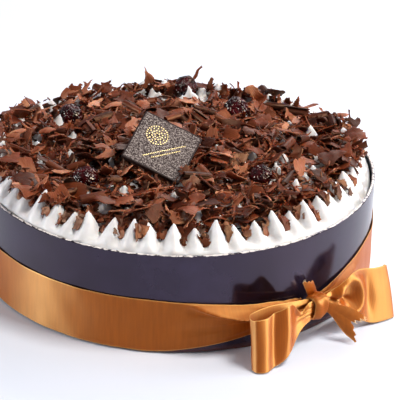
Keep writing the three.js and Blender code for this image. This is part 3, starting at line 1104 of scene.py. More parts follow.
ROLL = FlakeForm.ROLL
KINDS = (
    FlakeKind("broad", 540, 80, (15, 26), (11, 17), (14, 9), (0.01, 0.05), 0.8, (5, 56), 0.85, (0.2, 1.0)),
    FlakeKind("medium", 1300, 80, (10, 17), (7, 12), (10, 6), (0.01, 0.075), 0.75, (6, 62), 0.8, (0.1, 1.0)),
    FlakeKind(
        "small", 2200, 70, (5.5, 10.5), (4, 7.5), (7, 4), (0.02, 0.12), 0.7, (8, 75), 0.75, (0.05, 0.95)
    ),
    FlakeKind(
        "rolled", 110, 24, (11, 24), (14, 24), (5, 24), (0.26, 0.42), 0.7, (0, 45), 0.8, (0.15, 0.6), ROLL
    ),
    FlakeKind("slivers", 700, 40, (8, 20), (1.2, 3.0), (8, 2), (0.02, 0.16), 0.7, (0, 75), 0.7, (0.2, 0.9)),
    FlakeKind("chips", 4400, 40, (1.6, 5), (1.2, 3.4), (3, 2), (0.0, 0.2), 0.8, (0, 85), 0.6, (0.05, 0.85)),
)
BROAD, MEDIUM, SMALL, ROLLS, SLIVERS, CHIPS = KINDS


@dataclass
class Relief:
    """Heights above the table on a square grid: the surface that flakes come to rest on."""

    reach: float = 142.0
    cell: float = 1.5

    def __post_init__(self) -> None:
        """Start with a bare floor."""
        self.side = int(2 * self.reach / self.cell) + 1
        self.level = np.zeros((self.side, self.side), np.float32)

    def cells(self, points: Array) -> tuple[Array, Array]:
        """Return the grid rows and columns under an (n, 2) or (n, 3) array of points."""
        spots = ((points[:, :2] + self.reach) / self.cell).astype(int)
        spots = np.clip(spots, 0, self.side - 1)
        return spots[:, 1], spots[:, 0]

    def under(self, points: Array) -> Array:
        """Return the heights under points."""
        return self.level[self.cells(points)]

    def lay(self, points: Array, under: float = 0.0, spread: int = 0) -> None:
        """Raise the surface to points.

        Args:
            points: An (n, 3) array in millimetres.
            under: How far under the points the surface stays.
            spread: Cells to each side that are raised too.
        """
        rows, columns = self.cells(points)
        for down in range(-spread, spread + 1):
            for aside in range(-spread, spread + 1):
                r = np.clip(rows + down, 0, self.side - 1)
                c = np.clip(columns + aside, 0, self.side - 1)
                np.maximum.at(self.level, (r, c), points[:, 2] - under)


    def drop(self, points: Array, sink: float, above: float = 0.0) -> None:
        """Bring points, which are changed here, down on the surface.

        Args:
            points: An (n, 3) array in millimetres.
            sink: The share of them that ends up above it.
            above: How far they're raised from there.
        """
        gaps = self.under(points) - points[:, 2]
        points[:, 2] += np.quantile(gaps, sink) + above


def turned(points: Array, *turns: tuple[float, str]) -> Array:
    """Return points turned by radians about axes, the last turn first."""
    whole = Matrix.Identity(3)
    for angle, axis in turns:
        whole = whole @ Matrix.Rotation(angle, 3, axis)
    return points @ np.array(whole).T


@dataclass
class FlakeMould:
    """The points and faces of one flake, centred on the origin and lying flat."""

    kind: FlakeKind
    draw: np.random.Generator

    def __post_init__(self) -> None:
        """Shape the flake: a torn four-cornered sheet, curled about a slanting axis."""
        kind, draw = self.kind, self.draw
        rolled = kind.form is ROLL
        across, down = kind.cells
        length, width = draw.uniform(*kind.length), draw.uniform(*kind.width)
        steps = np.linspace(0, 1, across + 1), np.linspace(0, 1, down + 1)
        u, v = np.meshgrid(*steps, indexing="ij")
        rim = (np.abs(u - 0.5) > 0.499) | (np.abs(v - 0.5) > 0.499)
        x, y = self.outline(u, v, length, width)
        slant = math.pi / 2 if rolled else draw.uniform(-0.9, 0.9)
        along = x * math.cos(slant) + y * math.sin(slant)
        aside = -x * math.sin(slant) + y * math.cos(slant)
        out, up, bent = self.curled(along)
        sag = 0.02 * draw.normal() * aside**2 / max(width, 1)
        wave = 0.22 * np.sin(0.5 * along + draw.uniform(0, 6)) + 0.15 * np.sin(0.8 * aside + slant)
        ripple = draw.uniform(-0.12, 0.12, u.shape) + (0 if rolled else wave * min(1, width / 10))
        base = np.stack([out, aside, up + sag], -1)
        normal = np.stack([-np.sin(bent), np.zeros_like(bent), np.cos(bent)], -1)
        base = base + normal * ripple[..., None]
        thick = kind.thickness * draw.uniform(0.75, 1.2) * np.where(rim, 0.6, 1.0)[..., None]
        top = (base + normal * thick / 2).reshape(-1, 3)
        bottom = (base - normal * thick / 2).reshape(-1, 3)
        turn = np.array(Matrix.Rotation(slant, 3, "Z"))
        self.points = np.concatenate([top, bottom]) @ turn.T
        self.points -= self.points.mean(0)
        flat = np.stack([x.ravel(), y.ravel()], 1)
        self.uv = np.concatenate([flat, flat]) * MM
        # painted shade: each flake lighter towards one end and side at random; its underside, the rougher
        # side, 0.12 darker
        drift = draw.uniform(-0.16, 0.16) * (2 * u - 1) + draw.uniform(-0.1, 0.1) * (2 * v - 1)
        self.shade = np.concatenate([drift.ravel(), drift.ravel() - 0.12])
        self.faces = self.weave(across + 1, down + 1)

    def outline(self, u: Array, v: Array, length: float, width: float) -> tuple[Array, Array]:
        """Return the flake's flat points, along it and across it.

        Args:
            u: Shares of the way along, from 0 to 1.
            v: Shares of the way across, from 0 to 1.
            length: The flake's length in millimetres.
            width: The flake's width in millimetres.
        """
        draw = self.draw
        rolled = self.kind.form is ROLL
        corners = draw.uniform(0.85 if rolled else 0.62, 1.0, (2, 2, 2))
        if not rolled and draw.random() < 0.25:
            corners[draw.integers(2), draw.integers(2)] *= 0.3  # nearly a triangle
        x, y = np.zeros_like(u), np.zeros_like(v)
        for end in (0, 1):
            for side in (0, 1):
                weight = (u if end else 1 - u) * (v if side else 1 - v)
                x += weight * (end - 0.5) * length * corners[end, side, 0]
                y += weight * (side - 0.5) * width * corners[end, side, 1]
        y += draw.uniform(-0.22, 0.22) * width * (1 - (2 * u - 1) ** 2) * (not rolled)
        x += draw.uniform(-0.15, 0.15) * width * (1 - (2 * v - 1) ** 2)
        depth = min(1.0, width / 10)
        near_u, far_u = np.clip(1 - u / 0.3, 0, 1), np.clip(1 - (1 - u) / 0.3, 0, 1)
        near_v, far_v = np.clip(1 - v / 0.3, 0, 1), np.clip(1 - (1 - v) / 0.3, 0, 1)
        rows, columns = u.shape
        x += depth * (self.tear(columns)[None, :] * near_u - self.tear(columns)[None, :] * far_u)
        y += depth * (self.tear(rows)[:, None] * near_v - self.tear(rows)[:, None] * far_v)
        return x, y

    def tear(self, count: int) -> Array:
        """Return how far an edge of so many points is broken back at each, in millimetres."""
        rough = self.draw.choice((0.3, 1.1, 2.3))
        middle, bite = self.draw.random(), self.draw.choice((0.0, 0.0, 2.2))
        share = np.linspace(0, 1, count)
        return rough * self.draw.random(count) + bite * np.exp(-(((share - middle) / 0.18) ** 2))

    def curled(self, along: Array) -> tuple[Array, Array, Array]:
        """Return how far out, how high and how steep the flake is at distances along its curl."""
        kind, draw = self.kind, self.draw
        knots = 61
        share = np.linspace(0, 1, knots)
        reach = mix(along.min(), along.max(), share)
        curl = draw.uniform(*kind.curl) * draw.choice((-1, 1))
        if kind.form is ROLL:
            bend = curl * mix(0.65, 1.8, share)
        else:
            bend = curl * (1 + draw.uniform(-1.2, 1.2) * (2 * share - 1))
        step = reach[1] - reach[0]
        angle = np.cumsum(bend) * step
        angle -= angle[knots // 2]
        out, up = np.cumsum(np.cos(angle)) * step, np.cumsum(np.sin(angle)) * step
        out, up = out - out[knots // 2], up - up[knots // 2]
        return tuple(np.interp(along, reach, values) for values in (out, up, angle))

    @staticmethod
    def weave(rows: int, columns: int) -> Array:
        """Return the quads of a sheet of rows by columns of points, with an underside and a rim."""
        index = np.arange(rows * columns).reshape(rows, columns)
        a, b, c, d = index[:-1, :-1], index[1:, :-1], index[1:, 1:], index[:-1, 1:]
        top = np.stack([a, b, c, d], -1).reshape(-1, 4)
        bottom = top[:, ::-1] + rows * columns
        loop = np.concatenate([index[:, 0], index[-1, 1:], index[-2::-1, -1], index[0, -2:0:-1]])
        following = np.roll(loop, -1)
        lower = loop + rows * columns
        lower_following = following + rows * columns
        side = np.stack([loop, lower, lower_following, following], -1)
        return np.concatenate([top, bottom, side])


@dataclass(frozen=True)
class StandingFlake:
    """A flake set on end at the heap's back edge, facing the front."""

    turn: float  # degrees from the cake's front
    distance: float
    top: float  # height of its tip above the rim
    size: Span
    sideways: float  # how far its tip leans to the right, in degrees
    aside: float  # how far its face is turned away from the front, in degrees
    tone: float
    taper: float = 0.6  # its width at the tip, as a share of the width at the foot

    def stand(self, mould: FlakeMould) -> Array:
        """Return a mould's points brought to the flake's size, stood up and put in place."""
        points = mould.points.copy()
        long, wide = self.size
        points[:, 0] *= long / np.ptp(points[:, 0])
        points[:, 1] *= wide / np.ptp(points[:, 1])
        points[:, 1] *= mix(1.0, self.taper, points[:, 0] / long + 0.5)
        upright = Matrix.Rotation(math.radians(90), 3, "X") @ Matrix.Rotation(math.pi / 2, 3, "Z")
        lean = Matrix.Rotation(math.radians(self.sideways), 3, "Y")
        way = Matrix.Rotation(math.radians(self.aside), 3, "Z")
        points = points @ np.array(way @ lean @ upright).T
        base = polar(math.radians(self.turn), self.distance, 0)
        return points + np.array([base.x, base.y, RIM + self.top - points[:, 2].max()])


STANDING_FLAKES = (
    StandingFlake(-166.5, 106, 28.5, (17, 14), -22, 10, 0.8, 0.12),
    StandingFlake(-175.5, 99, 19, (14, 10), 4, -15, 0.3, 0.8),
    StandingFlake(173.5, 107, 29, (15, 5), 24, 20, 0.65, 0.5),
    StandingFlake(168.0, 105, 21, (11, 8), 10, 30, 0.3),
    StandingFlake(162.0, 104, 19, (11, 9), -5, -30, 0.6),
    StandingFlake(-159.0, 108, 17, (12, 2.6), -48, 10, 0.3),
    StandingFlake(150.0, 108, 20, (17, 13), -35, 20, 0.75),
    StandingFlake(-134.0, 112, 17, (15, 8), -25, 30, 0.4),
    StandingFlake(-101.0, 121, 24, (19, 9), -18, 40, 0.6, 0.4),
    StandingFlake(131.0, 112, 22, (14, 7), 20, -20, 0.6, 0.3),
    StandingFlake(97.0, 116, 20, (15, 8), 35, 10, 0.7, 0.4),
)


# Cream that shows between the shavings: to the right, behind the middle, and radius in view.
GLIMPSES = (
    (-61.5, -20.6, 2.6),
    (-48.9, -26.1, 2.4),
    (-38.4, -6.1, 2.6),
    (-28.3, -46.6, 2.2),
    (-26.5, -57.2, 2.4),
    (-69.4, 13.2, 2.4),
    (-38.3, -61.0, 2.2),
    (-43.6, -95.3, 3.0),
    (52.7, -1.4, 2.4),
    (-103.4, 10.8, 3.0),
    (-80.3, 38.0, 2.4),
    (6.0, 92.3, 3.6),
    (16.3, 102.7, 3.4),
    (-22.0, 103.7, 3.0),
)


@dataclass(frozen=True)
class Mound:
    """A swelling or, with a height under 0, a hollow of the heap."""

    x: float
    y: float
    width: float
    high: float


MOUNDS = (Mound(-19, -20, 21, 7), Mound(2, -62, 17, -3.5))


@dataclass(frozen=True)
class Slide:
    """How flakes slide down the heap's edge towards the collar."""

    distance: Span  # from the cake's axis
    slope: Span  # radians from lying flat
    roll: float  # radians, either way
    stray: float  # how much their headings differ, in radians
    sink: float
    fall: float  # how much lower their highest point is for each millimetre outwards
    lowest: float  # height of their lowest point above the rim
    # painted shade: the flakes' tones are multiplied by this
    painted_shade: float = 1.0
    # a darker span given here is painted shade
    tone: Span | None = None  # None keeps the kind's own


# painted shade: hanging flakes are dimmed to 0.8, and flakes draped into the dips between the piped peaks
# take darker tones
HANG = Slide((107, 118), (0.5, 1.35), 0.7, 0.45, 0.5, 0.9, -1, painted_shade=0.8)
DRAPE = Slide((117, 127.5), (0.8, 1.3), 0.5, 0.2, 0.3, 0.0, 1, tone=(0.1, 0.6))
SLIDE_TOP = RIM + 20

# Kind, share of its number, and how far under the heap's final height the layer stays.
LAYERS = (
    (SMALL, 0.3, 5.0),
    (MEDIUM, 0.25, 4.5),
    (CHIPS, 0.3, 4.0),
    (ROLLS, 0.4, 3.0),
    (MEDIUM, 0.25, 2.0),
    (BROAD, 0.25, 2.0),
    (SLIVERS, 0.4, 1.0),
    (CHIPS, 0.3, 1.0),
    (SMALL, 0.3, 1.0),
    (BROAD, 0.35, 0.0),
    (MEDIUM, 0.25, -0.5),
    (ROLLS, 0.6, -1.5),
    (BROAD, 0.4, -2.0),
    (SMALL, 0.4, -1.5),
    (MEDIUM, 0.25, -2.0),
    (SLIVERS, 0.6, -2.5),
    (CHIPS, 0.4, -3.0),
)


def way_to_eye(spot: Array) -> Array:
    """Return the unit way from a spot to the viewer."""
    away = np.array(Studio().eye) - spot
    return away / np.linalg.norm(away)


def spill(turn: float) -> float:
    """Return how far the heap spreads over the piped peaks at an angle from the front."""
    degrees = math.degrees(turn)
    return max(smooth(-degrees, 25, 48), smooth(degrees, 62, 90))


@dataclass
class ShavingHeap:
    """The heap of shavings, laid flake by flake on the cream, round the cherries and the plaque."""

    cream: Piece
    plaque: Plaque
    seed: int = 20
    edge_front: float = 110.0
    edge_spill: float = 18.0
    low: float = 15.0
    low_behind: float = 8.0
    crown: float = 22.0
    proud: float = 8.0  # how far flakes may stick out of the heap
    tip_reach: float = 7.5  # how far from a glimpse its highest cream is looked for
    tries: int = 6  # places compared for a flake, and ways it's turned before it's given up
    strewn: float = 126.0  # flakes come down within this distance of the cake's axis
    inside: float = 133.5  # and no part of one lies farther out than this
    core_depth: float = 8.5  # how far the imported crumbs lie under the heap's final height
    core_rings: int = 58
    core_steps: int = 230

    def __post_init__(self) -> None:
        """Measure what the flakes will rest on."""
        self.draw = np.random.default_rng(self.seed)
        self.relief = Relief()
        self.piles: dict[str, list[tuple[Array, FlakeMould, float]]] = {k.name: [] for k in KINDS}
        for under in (self.cream, self.core()):
            self.relief.lay(points_of(under.data) / MM, spread=1)
        tops = points_of(self.cream.data) / MM
        self.peaks = tops[tops[:, 2] > RIM]
        self.balls = [(np.array(c.middle), c.radius, c.shown) for c in CHERRIES]
        self.sight = [way_to_eye(ball) for ball, _, _ in self.balls]
        self.view = way_to_eye(np.array(self.plaque.middle))
        self.glimpses = [self.tip(*place) for place in GLIMPSES]
        side = np.cross(self.view, (0.0, 0.0, 1.0))
        self.screen = np.stack([side / np.linalg.norm(side), np.cross(self.view, side)], 1)
        row = np.arange(-9, 9.1, 1.4)  # a grid over each cherry
        spots = np.array([(x, y, 0.0) for x in row for y in row])
        for ball, radius, _ in self.balls:
            gap = radius**2 - (spots[:, :2] ** 2).sum(1)
            cap = spots[gap > 0] + ball
            cap[:, 2] = ball[2] + np.sqrt(gap[gap > 0])
            self.relief.lay(cap)

    def tip(self, x: float, y: float, radius: float) -> tuple[Array, float]:
        """Return the middle of the highest cream near a place, and how much of it shows.

        Args:
            x: Distance to the right of the cake's middle.
            y: Distance behind it.
            radius: The radius of the part that should stay in view.
        """
        points = self.peaks
        near = np.hypot(points[:, 0] - x, points[:, 1] - y) < self.tip_reach
        top = points[near][points[near][:, 2].argmax()]
        return top - np.array([0, 0, 1.3 * radius]), radius

    def target(self, x: float, y: float) -> float:
        """Return the height that the heap should reach at a place.

        Args:
            x: Distance to the right of the cake's middle.
            y: Distance behind it.
        """
        radius = math.hypot(x, y)
        turn = turn_of(x, y)
        spilt = spill(turn)
        if radius > self.edge_front + self.edge_spill * spilt:
            return 0.0
        low = mix(self.low, self.low_behind, behind(turn))
        dome = mix(self.crown, low, smooth(radius / 108, 0, 1))
        swell = sum(m.high * bump(math.hypot(x - m.x, y - m.y), 0, m.width) for m in MOUNDS)
        lumps = 2.0 * noise.noise(Vector((x * 0.06, y * 0.06, 1.0)))
        outer = 4.0 * smooth(radius, 108, 122) * spilt * (1 - behind(turn))
        return RIM + dome + swell + lumps + outer

    def clears_plaque(self, points: Array) -> bool:
        """Tell whether a flake's points stay off the plaque and leave its face in view."""
        local = (points - np.array(self.plaque.middle)) @ self.plaque.axes.T
        half = self.plaque.side / 2
        inside = (np.abs(local[:, :2]) < half + 0.7).all(1)
        if (inside & (np.abs(local[:, 2]) < self.plaque.thickness / 2 + 0.8)).any():
            return False
        ray = self.plaque.axes @ self.view
        above = local[:, 2] > 0
        cast = local[:, :2] - local[:, 2:] / ray[2] * ray[:2]
        on_tile = (np.abs(cast) < half + 0.5).all(1)
        free = cast[:, 0] - cast[:, 1] > 11  # its lower right corner may be covered
        return not (above & on_tile & ~free).any()

    def clears_cherries(self, points: Array) -> bool:
        """Tell whether a flake's points stay off the cherries and leave their tops in view."""
        for (ball, radius, shown), sight in zip(self.balls, self.sight):
            away = points - ball
            if ((away**2).sum(1) < (radius + 0.2) ** 2).any():
                return False
            raised = away - np.array([0, 0, 0.3 * radius])
            depth = raised @ sight
            off = np.linalg.norm(raised - depth[:, None] * sight, axis=1)
            if ((depth > 0) & (off < shown * radius)).any():
                return False
        return True

    def fits(self, points: Array) -> bool:
        """Tell whether a flake clears the collar, plaque and cherries and leaves them in view.

        Args:
            points: The flake's points in millimetres above the table.
        """
        if np.hypot(points[:, 0], points[:, 1]).max() > self.inside:
            return False
        if not (self.clears_plaque(points) and self.clears_cherries(points)):
            return False
        seen = points @ self.screen
        depths = points @ self.view
        for middle, radius in self.glimpses:
            off = np.hypot(*(seen - middle @ self.screen).T)
            if ((off < radius) & (depths > middle @ self.view)).any():
                return False
        return True

    def core(self) -> Piece:
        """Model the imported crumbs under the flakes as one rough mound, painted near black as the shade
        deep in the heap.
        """
        floor = RIM + 1.5
        shares = [1 - (index / self.core_rings) for index in range(self.core_rings + 1)]
        profile = [(0.0, floor), (0.97, floor)] + [(share, floor + 1) for share in shares]
        bm = spun(profile, self.core_steps)
        layer = bm.loops.layers.uv.new("flake")
        tone = bm.verts.layers.float.new("tone")
        for vert in bm.verts:
            share = math.hypot(vert.co.x, vert.co.y)
            turn = turn_of(vert.co.x, vert.co.y)
            radius = share * (self.edge_front - 1 + 0.6 * self.edge_spill * spill(turn))
            x, y = radius * math.sin(turn), -radius * math.cos(turn)
            if vert.co.z > floor + 0.5:
                full = self.target(x, y) - self.core_depth - floor
                lumps = abs(noise.noise(Vector((x * 0.15, y * 0.15, 8.0))))
                grit = abs(noise.noise(Vector((x * 0.4, y * 0.4, 2.0))))
                full += 2.5 - 9 * lumps - 4 * grit
                vert.co.z = floor + max(full, 0.5) * math.sqrt(max(0.0, 1 - share**10))
            # painted shade: tones about 0 give the ramp's darkest browns, for the shade between the flakes
            vert[tone] = 0.2 * noise.noise(Vector((x * 0.25, y * 0.25, 5.0)))
            vert.co.x, vert.co.y = x, y
        for face in bm.faces:
            for loop in face.loops:
                loop[layer].uv = loop.vert.co.xy * MM
        bmesh.ops.recalc_face_normals(bm, faces=bm.faces)
        return dress(object_from(bm, "shavings_packed_crumbs", 30), SHAVINGS, "chocolate_shavings")

    def mould(self, kind: FlakeKind) -> FlakeMould:
        """Return one of a kind's moulds at random."""
        return self.moulds[kind.name][self.draw.integers(kind.moulds)]

    def stand(self) -> None:
        """Set the standing flakes along the back edge."""
        for flake in STANDING_FLAKES:
            mould = FlakeMould(replace(BROAD, curl=(0.01, 0.03)), self.draw)
            points = flake.stand(mould)
            self.relief.lay(points, 3.0)
            self.piles["broad"].append((points, mould, flake.tone))

    def spot(self, below: float) -> Span | None:
        """Return the emptiest of a few random places, or None when none has room.

        Args:
            below: How far under the heap's final height this layer stays.
        """
        best, most = None, 0.0
        for _ in range(self.tries):
            radius = self.strewn * math.sqrt(self.draw.random())
            turn = self.draw.random() * 2 * math.pi
            x, y = radius * math.cos(turn), radius * math.sin(turn)
            level = float(self.relief.under(np.array([[x, y]]))[0])
            room = self.target(x, y) - below - level
            if room > most:
                best, most = (x, y), room
        return best

    def settle(self, kind: FlakeKind, shape: Array, x: float, y: float) -> Array | None:
        """Bring a flake down on the heap at a place, or return None if it fits no way.

        Args:
            kind: The flake's kind.
            shape: The mould's points.
            x: Distance to the right of the cake's middle.
            y: Distance behind it.
        """
        for _ in range(self.tries):
            lean = math.radians(self.draw.uniform(*kind.lean))
            yaw, way = self.draw.uniform(0, 2 * math.pi, 2)
            flip = math.pi * (self.draw.random() < 0.5)
            points = turned(shape, (way, "Z"), (lean + flip, "X"), (yaw, "Z"))
            points += np.array([x, y, 0.0])
            self.relief.drop(points, kind.sink - 0.25 * lean / 1.35, 0.15)
            if points[:, 2].max() < self.target(x, y) + self.proud and self.fits(points):
                return points
        return None

    def slide(self, kind: FlakeKind, turn: float, slide: Slide) -> None:
        """Let a flake slide down the heap's edge, and keep it if it fits.

        Args:
            kind: The kind of flake.
            turn: Radians from +X, counted towards +Y.
            slide: How it slides.
        """
        radius = self.draw.uniform(*slide.distance)
        mould = self.mould(kind)
        slope = self.draw.uniform(*slide.slope)
        roll = self.draw.uniform(-slide.roll, slide.roll)
        way = turn + self.draw.normal(0, slide.stray)
        points = turned(mould.points, (way, "Z"), (slope, "Y"), (roll, "X"))
        points += np.array([radius * math.cos(turn), radius * math.sin(turn), 0.0])
        self.relief.drop(points, slide.sink)
        top = SLIDE_TOP - slide.fall * (radius - slide.distance[0])
        low, high = points[:, 2].min(), points[:, 2].max()
        if high < top and low > RIM + slide.lowest and self.fits(points):
            self.relief.lay(points, 1.5)
            # painted shade from the slide's tone span and factor
            tone = self.draw.uniform(*(slide.tone or kind.tone)) * slide.painted_shade
            self.piles[kind.name].append((points, mould, tone))

    def hang(self, kind: FlakeKind, count: int) -> None:
        """Hang so many flakes down the heap's edge into the dips between the piped peaks."""
        for index in range(count):
            self.slide(kind, (index + self.draw.random()) / count * 2 * math.pi, HANG)

    def drape(self, kind: FlakeKind, tries: int) -> None:
        """Let flakes slide down between the piped peaks of the rim, so many tried in each dip."""
        for index in range(RIM_PEAKS * tries):
            turn = (index % RIM_PEAKS + 0.5 + self.draw.uniform(-0.15, 0.15)) / RIM_PEAKS
            self.slide(kind, turn * 2 * math.pi - math.pi / 2, DRAPE)

    def lay_kind(self, kind: FlakeKind, share: float, below: float) -> None:
        """Lay a share of one kind's flakes.

        Args:
            kind: The kind of flake.
            share: How much of its number to lay now.
            below: How far under the heap's final height this layer stays.
        """
        pile = self.piles[kind.name]
        before = len(pile)
        for _ in range(int(kind.count * share)):
            place = self.spot(below)
            if place is None or len(pile) >= kind.most:
                continue
            mould = self.mould(kind)
            points = self.settle(kind, mould.points, *place)
            if points is not None:
                self.relief.lay(points, 1.6, 1 if kind.length[0] > 10 else 0)
                pile.append((points, mould, self.draw.uniform(*kind.tone)))
        LOG.info("%s: %d laid", kind.name, len(pile) - before)

    def strew(self, kind: FlakeKind, count: int, spread: Span) -> None:
        """Drop loose flakes on the cream round the rim.

        Args:
            kind: The kind of flake.
            count: How many.
            spread: The nearest and farthest distance from the cake's middle.
        """
        for _ in range(count):
            radius = self.draw.uniform(*spread)
            turn = self.draw.uniform(0, 2 * math.pi)
            mould = self.mould(kind)
            points = self.settle(kind, mould.points, radius * math.cos(turn), radius * math.sin(turn))
            if points is not None:
                self.piles[kind.name].append((points, mould, self.draw.uniform(*kind.tone)))

    def joined(self, kind: FlakeKind) -> Piece:
        """Join the laid flakes of a kind into one piece."""
        name, pile = f"shavings_{kind.name}", self.piles[kind.name]
        starts = np.cumsum([0] + [len(points) for points, _, _ in pile[:-1]])
        points = np.concatenate([points for points, _, _ in pile]) * MM
        faces = np.concatenate([mould.faces + s for (_, mould, _), s in zip(pile, starts)])
        uv = np.concatenate([mould.uv for _, mould, _ in pile])
        tone = np.concatenate([mould.shade + t for _, mould, t in pile]).astype(np.float32)
        mesh = bpy.data.meshes.new(name)
        mesh.vertices.add(len(points))
        mesh.vertices.foreach_set("co", points.astype(np.float32).ravel())
        mesh.loops.add(faces.size)
        mesh.loops.foreach_set("vertex_index", faces.astype(np.int32).ravel())
        mesh.polygons.add(len(faces))
        mesh.polygons.foreach_set("loop_start", np.arange(0, faces.size, 4, dtype=np.int32))
        mesh.update(calc_edges=True)
        layer = mesh.uv_layers.new(name="flake")
        layer.data.foreach_set("uv", uv[faces.ravel()].astype(np.float32).ravel())
        values = mesh.attributes.new("tone", "FLOAT", "POINT")
        values.data.foreach_set("value", tone)
        mesh.validate()
        mesh.shade_smooth()
        mesh.set_sharp_from_angle(angle=math.radians(42))
        return dress(link_mesh(mesh, name), SHAVINGS, "chocolate_shavings")

    def build(self) -> None:
        """Lay the heap in layers and make one piece of each kind."""
        self.moulds = {k.name: [FlakeMould(k, self.draw) for _ in range(k.moulds)] for k in KINDS}
        self.stand()
        self.drape(SMALL, 5)
        self.drape(MEDIUM, 2)
        self.hang(SMALL, 160)
        self.hang(MEDIUM, 90)
        self.hang(BROAD, 30)
        for layer in LAYERS:
            self.lay_kind(*layer)
        self.strew(CHIPS, 90, (108, 132))
        self.strew(SMALL, 12, (112, 126))
        for kind in KINDS:
            self.joined(kind)


# Ribbon and bow.

RIBBON = 38.0
BOW_TURN = math.radians(40)
KNOT_OUT = 148.0
KNOT_UP = 24.8
GATHERED = 12.5


def from_bow(across: float, out: float, up: float) -> Vector:
    """Return a point from the bow's own axes.

    Args:
        across: Distance along the collar, to the right.
        out: Distance from the cake's axis.
        up: Height above the table.
    """
    side = Vector((math.cos(BOW_TURN), math.sin(BOW_TURN), 0))
    outward = Vector((math.sin(BOW_TURN), -math.cos(BOW_TURN), 0))
    point = side * across + outward * out
    point.z = up
    return point


@dataclass
class Strip:
    """A strip of satin bent onto a surface."""

    name: str
    node: str
    surface: Surface
    steps: tuple[int, int]
    flat: Span
    held: str = "folded"
    rests_on: str = "satin_knot"
    thickness: float = 0.3

    def build(self) -> Piece:
        """Model the strip, give it its thickness and dress it, hiding the solid it stands for."""
        bm = bmesh.new()
        along, across = self.steps
        bmesh.ops.create_grid(bm, x_segments=along, y_segments=across, size=0.5)
        layer = bm.loops.layers.uv.new("ribbon")
        width, length = self.flat
        for face in bm.faces:
            for loop in face.loops:
                u, v = loop.vert.co.x + 0.5, loop.vert.co.y + 0.5
                loop[layer].uv = (u * length * MM, v * width * MM)
        for vert in bm.verts:
            vert.co = self.surface(vert.co.x + 0.5, vert.co.y + 0.5)
        piece = object_from(bm, self.name, 70)
        skin = piece.modifiers.new("thickness", "SOLIDIFY")
        skin.thickness = self.thickness * MM
        skin.offset = 0.0
        dress(piece, SATIN, self.node)
        return piece


@dataclass
class RibbonBand:
    """The ribbon round the collar, drawn together into folds at the knot."""

    radius: float = COLLAR_RADIUS + 0.8
    foot: float = 1.3
    left_gather: float = math.radians(44)
    right_gather: float = math.radians(28)
    clear: float = 0.05
    ease: float = 0.55

    def surface(self, u: float, v: float) -> Vector:
        """Return the band's point at u along it, from the knot's right round to its left."""
        eased = u - self.ease * math.sin(2 * math.pi * u) / (2 * math.pi)
        start, end = BOW_TURN + self.clear, BOW_TURN + 2 * math.pi - self.clear
        turn = mix(start, end, eased)
        right = clamp(1 - (turn - start) / self.right_gather)
        left = clamp(1 - (end - turn) / self.left_gather)
        foot = mix(self.foot, KNOT_UP - GATHERED / 2, max(right**0.9, left**1.5))
        drop = 10.0 * left**1.3 + 13.0 * right**1.35
        height = mix(foot, self.foot + RIBBON - drop, v)
        crease = 1 - 0.26 * max(0.0, (left - 0.27) / 0.31) ** 0.9
        under = smooth(v, crease - 0.16, crease)
        over = clamp((1 - v) / (1 - crease + 1e-3))
        fold = 8.6 * smooth(left, 0.2, 0.46) * (under if v < crease else over)
        to_knot = (1 - max(left, right)) * self.left_gather * self.radius
        fan = math.atan2(height - KNOT_UP, to_knot + 9)
        drawn = smooth(max(left, right), 0.05, 0.6)
        streaks = noise.noise(Vector((fan * 13, 0.6 * to_knot / 30, 4.0 * (right > 0))))
        pleats = 2.3 * drawn * streaks * (1 - 0.75 * over * (v >= crease) * (left > 0.25))
        hang = 0.35 * noise.noise(Vector((turn * 9, v * 2.0, 0.0))) * (1 - drawn)
        puff = 2.4 * math.sin(math.pi * right) * math.sin(math.pi * v)
        radius = self.radius + max(fold + pleats + puff + hang, -0.3)
        return polar(turn, radius + 1.2 * max(left, right) ** 3, height)

    def build(self) -> Piece:
        """Make the band."""
        flat = (RIBBON, self.radius * (2 * math.pi - 2 * self.clear))
        held = {"held": "stretched", "rests_on": "chocolate_collar_strip"}
        return Strip("satin_band", "ribbon_band", self.surface, (460, 46), flat, **held).build()


@dataclass(frozen=True)
class Puff:
    """A soft swelling or dent of a loop's front, in millimetres across and up from the knot."""

    across: float
    up: float
    wide: float
    tall: float
    rise: float
    ring: bool = False

    def at(self, across: float, up: float) -> float:
        """Return how far the puff pushes the ribbon out at a place."""
        away = math.hypot((across - self.across) / self.wide, (up - self.up) / self.tall)
        return self.rise * (bump(away, 1.0, 0.42) if self.ring else bump(away, 0.0, 1.0))


@dataclass(frozen=True)
class Crease:
    """A pressed line in a loop's front, from the knot outwards."""

    start: Span
    end: Span
    width: float
    depth: float

    def at(self, across: float, up: float) -> float:
        """Return how far the crease lies in front of the ribbon at a place."""
        (x0, y0), (x1, y1) = self.start, self.end
        long = math.hypot(x1 - x0, y1 - y0)
        share = ((across - x0) * (x1 - x0) + (up - y0) * (y1 - y0)) / long**2
        away = ((across - x0) * (y1 - y0) - (up - y0) * (x1 - x0)) / long
        ends = smooth(share, -0.15, 0.15) * (1 - smooth(share, 0.7, 1.1))
        return -self.depth * bump(away, 0, self.width) * ends


